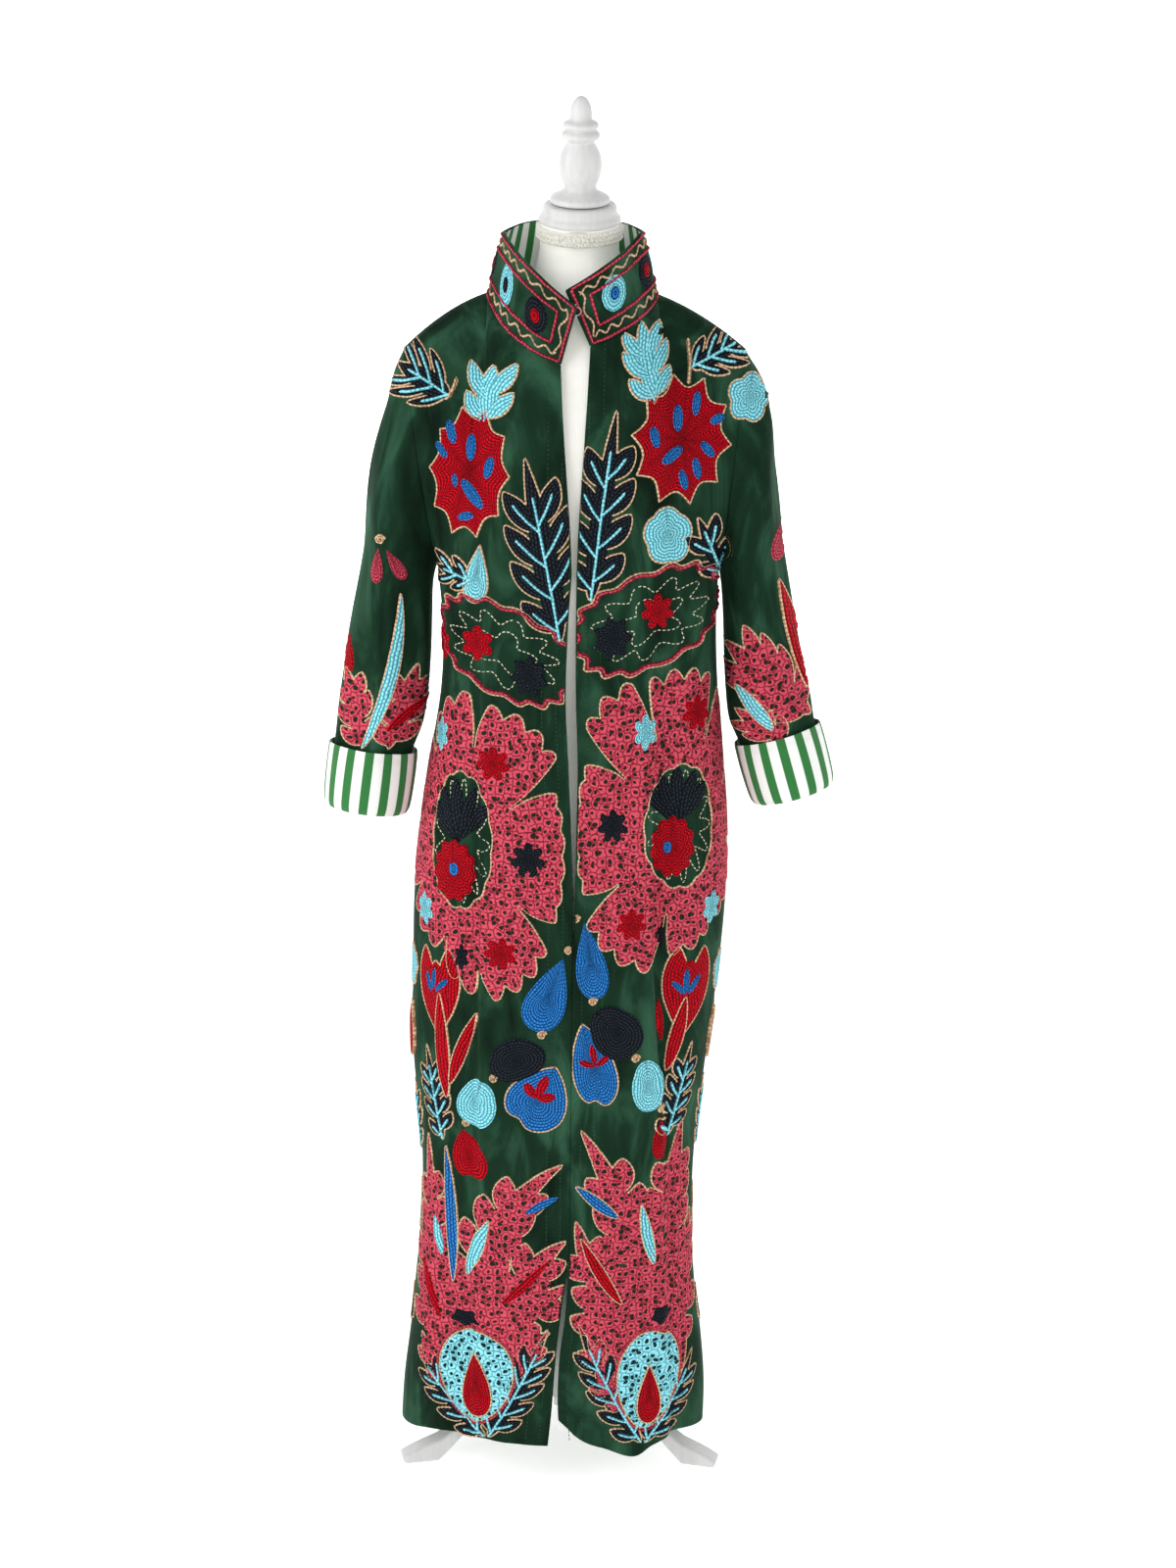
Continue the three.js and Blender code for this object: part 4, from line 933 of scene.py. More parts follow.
def petal_ring(petals):
    """An outline round a middle, clockwise from the top, of petals with narrow slits between them.

    Each petal is (from, to in degrees, reach at from, reach at to, scallops, reach of the slit before
    it). Its edge is the reach times a row of half sine waves, and falls to the slit at both ends.
    """
    points = []
    for number, (start, stop, first, last, scallops, slit) in enumerate(petals):
        share = (1 - np.cos(np.linspace(0, np.pi, 20 + 14 * scallops))) / 2
        reach = lerp(first, last, share) * (1 + 0.05 * np.sin(np.pi * share))
        reach *= 0.92 + 0.08 * np.abs(np.sin(np.pi * scallops * share))
        floor = lerp(slit, petals[(number + 1) % len(petals)][5], share)
        reach = lerp(floor, reach, np.clip(np.minimum(share, 1 - share) / 0.09, 0, 1) ** 0.4)
        turn = np.radians(lerp(start, stop, share))
        points.append(np.stack([np.sin(turn) * reach, np.cos(turn) * reach], -1))
    return np.concatenate(points)


def blade(x, z, length, width, turn, bend=0, fullness=0.8):
    """The two sides of a blade from its base to its tip: a power of a sine wide, its midrib an arc."""
    share = np.linspace(0, 1, max(12, int(length / 2.4)))
    half = width / 2 * np.sin(np.pi * share ** fullness) ** 0.75
    heading = np.radians(turn + bend * share)
    ahead = np.column_stack([np.sin(heading), np.cos(heading)])
    across = np.column_stack([np.cos(heading), -np.sin(heading)]) * half[:, None]
    spine = np.cumsum(ahead * length / (len(share) - 1), axis=0)
    spine = spine - spine[0] + (x, z)
    return spine - across, spine + across


def leaf_blades(x, z, length, width, turn, lobes, bend, plump):
    """A lobed leaf as blades: one from base to tip, and pairs that lean out of it towards the tip.

    A pair's length is the half width over the sine of its lean, times 1 less a square of how far it
    is from a third of the way up.
    """
    blades = [blade(x, z, length, width * 0.3 * plump, turn, bend, 0.7 if plump < 1.2 else 0.95)]
    middle = (blades[0][0] + blades[0][1]) / 2
    for number in range(lobes):
        for sign in (-1, 1):
            share = 0.06 + 0.72 * (number + 0.25 * (sign > 0)) / lobes
            at = middle[int(share * (len(middle) - 1))]
            lean = 46 - 18 * share
            reach = width / 2 / math.sin(math.radians(lean)) * (1 - ((share - 0.3) / 0.72) ** 2)
            heading = turn + bend * share + sign * (lean + 8)
            blades.append(blade(*at, reach, length / lobes * 0.4 * plump, heading, -sign * 22, 1.0))
    return blades


def inside(points, outline):
    """Whether points lie in a closed outline, by counting the edges that a line to the right crosses."""
    x, z = points[:, :1], points[:, 1:]
    a, b = outline, np.roll(outline, -1, axis=0)
    crosses = (a[:, 1] > z) != (b[:, 1] > z)
    with np.errstate(divide="ignore", invalid="ignore"):
        at = a[:, 0] + (z - a[:, 1]) * (b[:, 0] - a[:, 0]) / (b[:, 1] - a[:, 1])
    return (crosses & (x < at)).sum(1) % 2 == 1


def outline_where_free(work, outline, others):
    """Tan chain stitch round an outline, left out where it runs inside another outline."""
    path = resampled(outline, HALF_LINK, closed=True)
    hidden = np.zeros(len(path), bool)
    for other in others:
        hidden |= inside(path, other)
    if not hidden.any():
        cord(work, path, "tan", closed=True)
        return
    first = int(np.argmax(hidden))
    path, hidden = np.roll(path, -first, 0), np.roll(hidden, -first)
    ends = np.flatnonzero(np.diff(np.concatenate([[1], hidden.astype(int), [1]])))
    for start, stop in zip(ends[::2], ends[1::2]):
        if stop - start > 7:
            cord(work, path[max(0, start - 1):stop + 1], "tan")


# ---------------- materials
def linear(hex_colour):
    """An sRGB hex colour as linear red, green, blue and 1."""
    values = np.array([int(hex_colour[i:i + 2], 16) for i in (1, 3, 5)]) / 255
    low, high = values / 12.92, ((values + 0.055) / 1.055) ** 2.4
    return (*np.where(values <= 0.04045, low, high), 1.0)


def node(tree, kind, *inputs, stops=(), **settings):
    """Adds a node and returns its outputs.

    The inputs go to its sockets in order, None leaving one as it is. Settings are its properties or
    its sockets by name. An output is linked and a value set. Stops, (position, hex colour), are a
    colour ramp's.
    """
    made = tree.nodes.new("ShaderNode" + kind)
    for _ in stops[2:]:
        made.color_ramp.elements.new(0.5)
    for number, (position, colour) in enumerate(stops):
        made.color_ramp.elements[number].position = position
        made.color_ramp.elements[number].color = linear(colour)
    for name in [name for name in settings if hasattr(made, name)]:
        setattr(made, name, settings.pop(name))
    feed(tree, made, dict(enumerate(inputs)), **settings)
    return made.outputs


def feed(tree, made, inputs=(), **settings):
    """Links outputs to a node's sockets or sets them to values, by number or by name."""
    settings = {name.replace("_", " "): value for name, value in settings.items()}
    for socket, value in {**dict(inputs), **settings}.items():
        if isinstance(value, bpy.types.NodeSocket):
            tree.links.new(value, made.inputs[socket])
        elif value is not None:
            made.inputs[socket].default_value = value


def surface(name, pattern=None, bump=(0, 0), **settings):
    """A new material with one Principled shader.

    The pattern gives its colour and a height, which goes through a bump node: bump is that node's
    distance in metres and its strength. Settings are constants on the shader's own sockets.
    """
    material = bpy.data.materials.new(name)
    material.use_nodes = True
    tree = material.node_tree
    if pattern:
        settings["Base_Color"], height = pattern(tree)
        settings["Normal"] = node(tree, "Bump", Height=height, Distance=bump[0], Strength=bump[1])[0]
    feed(tree, tree.nodes["Principled BSDF"], **settings)
    return material


def metres(tree, *scale):
    """Object coordinates in metres times a scale, so that 1000 / n repeats every n mm."""
    return node(tree, "Mapping", node(tree, "TexCoord")["Object"], Scale=scale)[0]


def velvet(tree):
    """Cut pile 1 mm high, lying different ways in soft upright clouds, with tufts drawn 1.2 mm apart over
    them. The clouds also make the colour lighter and darker in patches: painted sheen of the pile.
    """
    nap_and_painted_sheen = node(tree, "TexNoise", metres(tree, 22, 22, 8), Scale=1.0, Detail=4.0, Roughness=0.55,
               Distortion=0.6)[0]
    pile = node(tree, "TexNoise", metres(tree, 833, 833, 833), Scale=1.0, Detail=2.0)[0]
    # Painted sheen: the clouds of the pile turn the colour lighter and darker in patches.
    colour = node(tree, "ValToRGB", nap_and_painted_sheen, stops=[(0.3, "#081a10"), (0.5, "#143020"), (0.72, "#325b44")])[0]
    return colour, node(tree, "Math", nap_and_painted_sheen, 2.5, pile, operation="MULTIPLY_ADD")[0]


def striped(tree):
    """Plain weave with threads 0.8 mm apart: green warp stripes 9 mm wide every 20 mm."""
    apart = node(tree, "SeparateXYZ", node(tree, "UVMap", uv_map="rows")[0])
    count = node(tree, "Math", apart[0], STRIPES_APART, operation="DIVIDE")[0]
    across = node(tree, "Math", node(tree, "Math", count, operation="FRACT")[0], -0.5)[0]
    centred = node(tree, "Math", across, operation="ABSOLUTE")[0]
    colour = node(tree, "ValToRGB", centred, stops=[
        (0.2, "#2f7a3b"), (0.225, "#2f7a3b"), (0.245, "#f4f8f3"), (0.5, "#fbfdfa")])[0]
    turns = [node(tree, "Math", along, 7.85, operation="MULTIPLY")[0] for along in apart[:2]]
    threads = [node(tree, "Math", turn, operation="SINE")[0] for turn in turns]
    return colour, node(tree, "Math", *threads, operation="MULTIPLY")[0]


def stitched(tree, dark, middle, light):
    """Yarn in rows of chain stitch: rows 3.8 mm apart, links 5.2 mm long.

    The height is the absolute sine across the rows times 0.4 plus 0.6 of the one along them, less
    fluff; every second row's links are shifted by half. The colour follows the height: painted
    shade in the grooves between rows and links, painted highlight on their tops.
    """
    apart = node(tree, "SeparateXYZ", node(tree, "UVMap", uv_map="rows")[0])
    wander = node(tree, "TexNoise", metres(tree, 90, 90, 90), Scale=1.0, Detail=2.0)[0]
    row = node(tree, "Math", apart[1], 1 / 3.8, wander, operation="MULTIPLY_ADD")[0]
    step = node(tree, "Math", node(tree, "Math", row, operation="FLOOR")[0], 0.5, operation="MULTIPLY")[0]
    link = node(tree, "Math", apart[0], 1 / 5.2, step, operation="MULTIPLY_ADD")[0]
    angles = [node(tree, "Math", count, math.pi, operation="MULTIPLY")[0] for count in (row, link)]
    waves = [node(tree, "Math", angle, operation="SINE")[0] for angle in angles]
    ridge, bead = (node(tree, "Math", wave, operation="ABSOLUTE")[0] for wave in waves)
    height = node(tree, "Math", ridge, node(tree, "Math", bead, 0.6, 0.4, operation="MULTIPLY_ADD")[0],
                  operation="MULTIPLY")[0]
    fluff = node(tree, "TexVoronoi", metres(tree, 420, 420, 420), Scale=1.0)[0]
    mixed = node(tree, "Math", fluff, -0.4, height, operation="MULTIPLY_ADD")[0]
    # Painted shade and highlight: dark in the grooves, light on the tops of the stitches.
    colour = node(tree, "ValToRGB", mixed, stops=[(0.0, dark), (0.36, middle), (0.85, light)])[0]
    return colour, mixed


def looped(tree, dark, middle, light):
    """Rings of chain stitch packed side by side, 9 mm across, with velvet in their eyes.

    The tone is the distance from a ring's middle past its eye, held down in the gaps between rings,
    less fluff. From the velvet of the eye it runs through dark yarn to light: painted shade where a
    ring dips to its eye and in the gaps between rings, painted highlight on the rings' tops.
    """
    where = node(tree, "Mapping", node(tree, "UVMap", uv_map="rows")[0], Scale=(0.111, 0.111, 0))[0]
    bent = node(tree, "TexNoise", where, Scale=1.3, Detail=0.0)["Color"]
    where = node(tree, "VectorMath", bent, (0.5, 0.5, 0), where, operation="MULTIPLY_ADD")[0]
    ring, edge = (node(tree, "TexVoronoi", where, voronoi_dimensions="2D", feature=feature, Scale=1.0,
                       Randomness=0.7) for feature in ("F1", "DISTANCE_TO_EDGE"))
    size = node(tree, "SeparateColor", ring["Color"])[0]
    eye = node(tree, "Math", size, -0.12, ring[0], operation="MULTIPLY_ADD")[0]
    eye = node(tree, "MapRange", eye, 0.12, 0.25)[0]
    # Painted shade: the tone is held down near the edges between rings.
    gap = node(tree, "MapRange", edge[0], 0.0, 0.12, 0.4, 1.0)[0]
    fluff = node(tree, "TexVoronoi", metres(tree, 400, 400, 400), Scale=1.0)[0]
    tone = node(tree, "Math", fluff, -0.4, node(tree, "Math", eye, gap, operation="MINIMUM")[0],
                operation="MULTIPLY_ADD")[0]
    # Velvet in the eyes, then painted shade, the yarn's middle tone and painted highlight.
    colour = node(tree, "ValToRGB", tone, stops=[
        (0.0, "#14261c"), (0.14, dark), (0.42, middle), (0.9, light)])[0]
    return colour, tone


def jersey(tree):
    """Knitted cotton stretched over the form: ribs 1.4 mm apart on a slight mottle."""
    mottle = node(tree, "TexNoise", metres(tree, 30, 30, 30), Scale=1.0, Detail=3.0)[0]
    colour = node(tree, "ValToRGB", mottle, stops=[(0.3, "#f8f7ee"), (0.7, "#fefdf8")])[0]
    ribs = node(tree, "TexWave", metres(tree, 115, 115, 115), Scale=1.0, Distortion=0.4, Detail=1.0)[1]
    return colour, ribs


def painted(tree):
    """Turned wood under white satin paint: faint upright grain telling through."""
    grain = node(tree, "TexNoise", metres(tree, 160, 160, 14), Scale=1.0, Detail=4.0)[0]
    return node(tree, "ValToRGB", grain, stops=[(0.25, "#cecece"), (0.7, "#dadad9")])[0], grain


def plaited(tree):
    """An off-white braid with plaits about 3 mm long round the band, its colour darker from each plait's
    middle to its sunk edges: painted shade.
    """
    plait = node(tree, "TexVoronoi", metres(tree, 330, 330, 500), Scale=1.0)[0]
    # Painted shade: darker where the braid dips between plaits.
    return node(tree, "ValToRGB", plait, stops=[(0.0, "#fbfaf5"), (0.8, "#dcdad0")])[0], plait


def drawn_wire(tree):
    """Nickel-plated drawn steel wire with fine marks."""
    marks = node(tree, "TexNoise", metres(tree, 900, 900, 900), Scale=1.0, Detail=2.0)[0]
    return node(tree, "ValToRGB", marks, stops=[(0.3, "#a9adb0"), (0.7, "#d8dbdd")])[0], marks


VELVET = surface("cotton velvet", velvet, (0.0007, 0.5), Roughness=0.85, Sheen_Weight=0.3,
                 Sheen_Roughness=0.3, Sheen_Tint=linear("#6f9f80"), Specular_IOR_Level=0.08)
STRIPE = surface("striped cotton", striped, (0.0002, 0.5), Roughness=0.8, Sheen_Weight=0.15,
                 Specular_IOR_Level=0.25)
JERSEY = surface("cotton jersey", jersey, (0.0003, 0.4), Roughness=0.85, Sheen_Weight=0.2,
                 Specular_IOR_Level=0.2)
PAINT = surface("white painted wood", painted, (0.0004, 0.35), Roughness=0.4, Specular_IOR_Level=0.3)
BRAID = surface("cotton braid", plaited, (-0.0008, 0.7), Roughness=0.8, Sheen_Weight=0.2,
                Specular_IOR_Level=0.25)
WIRE = surface("plated steel wire", drawn_wire, (0.0001, 0.5), Metallic=1.0, Roughness=0.3)
# Each yarn: a name, a pattern, and dark, middle and light tones of its one colour; the dark tone is painted
# shade in the stitches' grooves and gaps, the light one painted highlight on their tops.
YARNS = dict(
    crimson=("crimson yarn", stitched, "#560006", "#b00012", "#dc0424"),
    pink=("pink yarn in rings", looped, "#58101a", "#a42c3e", "#da5668"),
    turquoise=("turquoise yarn", stitched, "#42909e", "#80dcec", "#b8f8ff"),
    blue=("blue yarn", stitched, "#083a70", "#1468b4", "#4496e0"),
    charcoal=("charcoal yarn", stitched, "#05070a", "#131920", "#2c3540"),
    tan=("tan yarn", stitched, "#8a6848", "#cfa983", "#ecd2b2"),
    cream=("cream thread", stitched, "#a8a183", "#d9d2b4", "#f1ebd3"),
    green=("green sewing thread", stitched, "#122a1c", "#2a4a36", "#45684f"),
    loop=("pink yarn", stitched, "#6c1624", "#b8364c", "#dd5a6e"),
    rings=("turquoise yarn in rings", looped, "#1f4e56", "#68c4d4", "#a4eef8"),
)
THREAD_MATERIALS = [
    surface(name, lambda tree: pattern(tree, *colours), (0.0014, 0.9), Roughness=0.8, Specular_IOR_Level=0.1)
    for name, pattern, *colours in YARNS.values()]


# ---------------- the coat
grids, pieces = {}, {}


def cloth_piece(name, word, grid, normals, closed=False, rolled=(), thickness=WALL, also=()):
    """A velvet panel with its striped lining; uv counts mm along it."""
    points, faces, kinds = wall_mesh(grid, normals, thickness, closed, rolled)
    across, along = lengths(grid.transpose(1, 0, 2)).mean(1), lengths(grid).mean(1)
    uv = np.stack(floats(across[None], along[:, None]), -1).reshape(-1, 2)
    edges = np.zeros((len(points) - 2 * len(uv), 2))
    piece = make_piece(name + word, points, facing_out(points, faces), [VELVET, STRIPE], kinds,
                       np.concatenate([uv, uv, edges]))
    grids[name], pieces[name] = grid, fasten(piece, "velvet", name, *also)


def collar_grid():
    """The collar's band, its normals pointing out."""
    grid = collar_point(np.linspace(0, 14, 220)[None], np.linspace(0, 1, 26)[:, None])
    normals = grid_normals(grid)
    return grid, normals * np.sign((normals[..., :2] * grid[..., :2]).sum(-1).mean())


for side in SIGN:
    cloth_piece("front_" + side, "_panel", *front_grid(side), rolled=("bottom", "start"))
cloth_piece("back", "_panel", *back_grid(), rolled=("bottom",))
for side in SIGN:
    cloth_piece("sleeve_" + side, "_panel", *sleeve_grid(side), closed=True)
cloth_piece("collar", "_band", *collar_grid(), rolled=("top", "start", "end", "bottom"),
            thickness=COLLAR_WALL, also=["collar_lining"])


def cuff_points(side):
    """A turned-back cuff: its rounded section carried round the sleeve's end, with a slight flutter."""
    low, up, across = cuff_frame(side)
    outline = rounded(CUFF_SECTION, 2)
    angle = around(120)[:, None]
    out, height = outline.T
    flutter = (1.4 * np.sin(2 * angle + 0.6) + 0.8 * np.sin(5 * angle)) * (height / CUFF_HEIGHT) ** 2
    flutter = np.where(out > 2, flutter, 0)
    wide = CUFF_HALF_WIDTH + out + flutter
    deep = CUFF_HALF_DEPTH + out + flutter
    return (low + up * height[None, :, None] + across * (np.cos(angle) * wide)[..., None]
            + np.array([0, -1, 0]) * (np.sin(angle) * deep)[..., None])


for side in SIGN:
    grid = cuff_points(side)
    grids["cuff_" + side] = grid
    ring, count = grid.shape[:2]
    faces = grid_faces(ring + 1, count, closed=True) % (ring * count)
    faces = facing_out(grid.reshape(-1, 3), faces)
    along = lengths(np.concatenate([grid, grid[:1]])).mean(1)
    whole = round(along[-1] / STRIPES_APART) * STRIPES_APART
    uv = np.stack(floats(along[:-1, None] * whole / along[-1], np.arange(count) * 2.4), -1)
    piece = make_piece("cuff_" + side + "_turnback", grid, faces, [STRIPE], uv=uv.reshape(-1, 2))
    # The last stripe of the round would run backwards to 0, so it counts on to the repeat.
    layer = piece.data.uv_layers["rows"]
    values = np.zeros(len(piece.data.loops) * 2, np.float32)
    layer.data.foreach_get("uv", values)
    values = values.reshape(-1, 4, 2)
    wrapped = np.ptp(values[..., 0], axis=1) > whole / 2
    values[..., 0] += (wrapped[:, None] & (values[..., 0] < whole / 2)) * whole
    layer.data.foreach_set("uv", values.ravel())
    pieces["cuff_" + side] = fasten(piece, "stripe", "cuff_" + side)


# ---------------- dress form and stand
def form_grid():
    """The form's torso and neck: superellipse rings below, the coat's smooth shape moved in above."""
    shares = np.linspace(0.04, 0.96, 26)
    order = [("left", -1, shares), ("left", 1, shares[::-1]),
             ("right", 1, shares), ("right", -1, shares[::-1])]

    def ring(point_at):
        return np.concatenate([point_at(side, facing, share) for side, facing, share in order])

    def low_ring(z):
        def point_at(side, facing, share):
            angle = share * np.pi / 2
            wide = smooth(FORM, "z", z, "width")
            deep = smooth(FORM, "z", z, "front" if facing < 0 else "back")
            return np.stack([SIGN[side] * wide * np.sin(angle) ** SECTION_POWER,
                             facing * deep * np.cos(angle) ** SECTION_POWER, z + 0 * angle], -1)
        return ring(point_at)

    def high_ring(up):
        clear = WALL + lerp(12, 3.4, smoothstep(up / 0.6))

        def point_at(side, facing, share):
            at = lambda a, u: upper_point(side, facing, a, u, folds=False)
            point = at(share, up)
            along = at(share + 0.02, up) - at(np.maximum(0, share - 0.02), up)
            rise = at(share, min(1, up + 0.02)) - at(share, max(0, up - 0.02))
            normal = unit(np.cross(along, rise))
            normal *= np.sign(normal[:, 1:2] * facing)
            return point - normal * clear
        return ring(point_at)

    rings = [low_ring(z) for z in np.linspace(700, 1100, 26)]
    rings += [high_ring(up) for up in np.linspace(0, 0.95, 34)]
    top = rings[-1]

    def oval_ring(z, y, wide, deep):
        turn = np.arctan2(top[:, 1] - y, top[:, 0])
        return np.stack([wide * np.cos(turn), y + deep * np.sin(turn), z + 0 * turn], -1)

    necks = [oval_ring(*row) for row in NECK_RINGS]
    heads = [lean(oval_ring(height, 0, HEAD_RADIUS, HEAD_RADIUS)) for height in (-30, -22, -14, -6, 0)]
    return with_poles(np.stack([*rings, lerp(top, necks[0], 0.35), lerp(top, necks[0], 0.7), *necks, *heads]))


def stand_piece(name, grid, node_name, material, slot="white", sharp=math.radians(32)):
    fasten(grid_piece(name, grid, [material], sharp), slot, node_name)


stand_piece("form_body", form_grid(), "form_torso", JERSEY, "cream", math.radians(60))
stand_piece("form_cap", lean(lathe(rounded(CAP_PROFILE, 1, closed=False), 96)), "neck_cap", PAINT)
stand_piece("form_finial", lean(lathe(rounded(FINIAL_PROFILE, 2, closed=False), 96)), "finial", PAINT)
stand_piece("stand_pole", lathe(POLE_PROFILE, 64), "pole", PAINT)
stand_piece("stand_hub", lathe(rounded(HUB_PROFILE, 1), 72, close=True), "hub", PAINT)


def trim_points():
    """The neck's trim: a thin band with two rows of beads, each bead a small ball of 4 rings."""
    band = lathe([(45.3, -18.5), (46.9, -18.2), (47.1, -10.5), (46.9, -2.6), (45.3, -2.3)], 120, close=True)
    points, faces = [band.reshape(-1, 3)], [grid_faces(len(band), 120, closed=True)]
    count = len(points[0])
    ball = lathe([(0.01, -1.9), (1.35, -1.35), (1.9, 0), (1.35, 1.35), (0.01, 1.9)], 8).reshape(-1, 3)
    ball_faces = grid_faces(5, 8, closed=True)
    for height, number, radius, size in ((-15.6, 84, 47.6, 1), (-5.2, 84, 47.6, 1), (-10.4, 60, 47.4, 1.15)):
        middles = on_circle(radius, around(number), height)
        points.append((middles[:, None] + ball[None] * size).reshape(-1, 3))
        firsts = count + np.arange(number)[:, None, None] * len(ball)
        faces.append((ball_faces[None] + firsts).reshape(-1, 4))
        count += number * len(ball)
    return lean(np.concatenate(points)), np.concatenate(faces)


points, faces = trim_points()
trim = welded(make_piece("form_neck_trim", points, facing_out(points, faces), [BRAID]))
fasten(trim, "cream", "neck_trim")


def leg_piece(name, turn, reach):
    """One leg: its side outline as thick as a plank, with 3 mm rounded edges, turned to its direction."""
    radius, height = np.concatenate([LEG_OUTLINE[:7], rounded(LEG_OUTLINE[7:], 1, closed=False)]).T
    radius = LEG_START + (radius - LEG_START) * reach
    c, s = math.cos(math.radians(turn)), math.sin(math.radians(turn))
    points = [np.stack([radius * c - half * s, radius * s + half * c, height], -1)
              for half in (-LEG_THICKNESS / 2, LEG_THICKNESS / 2)]
    count = len(radius)
    faces = [list(range(count)), list(range(count, 2 * count))[::-1]]
    faces += [((a + 1) % count, a, a + count, (a + 1) % count + count) for a in range(count)]
    piece = make_piece(name + "_plank", np.concatenate(points), faces, [PAINT])
    bevel = welded(piece, math.radians(45), turned=True).modifiers.new("edges", "BEVEL")
    bevel.width = 0.003
    bevel.segments = 3
    bevel.limit_method = "ANGLE"
    bevel.angle_limit = math.radians(40)
    fasten(piece, "white", name)


for name, turn, reach in LEGS:
    leg_piece(name, turn, reach)


def hook_path():
    """The wire of the collar's hook: an open ring with a small sewing eye bent out at each end."""
    turn = np.linspace(math.radians(-112), math.radians(112), 40)
    ring = np.stack([4.4 * np.cos(turn), 0 * turn, 4.4 * np.sin(turn)], -1)
    loop = np.linspace(0, 1.75 * np.pi, 14)[1:]
    eyes = [end + np.stack([-1.4 * np.sin(loop), 0.25 * loop, sign * 1.4 * (1 - np.cos(loop))], -1)
            for sign, end in ((-1, ring[0]), (1, ring[-1]))]
    return np.concatenate([eyes[0][::-1], ring, eyes[1]]) + HOOK_AT


stand_piece("collar_hook_wire", tube_grid(hook_path(), HOOK_WIRE_RADIUS, 10), "collar_hook", WIRE,
            "steel", math.radians(60))


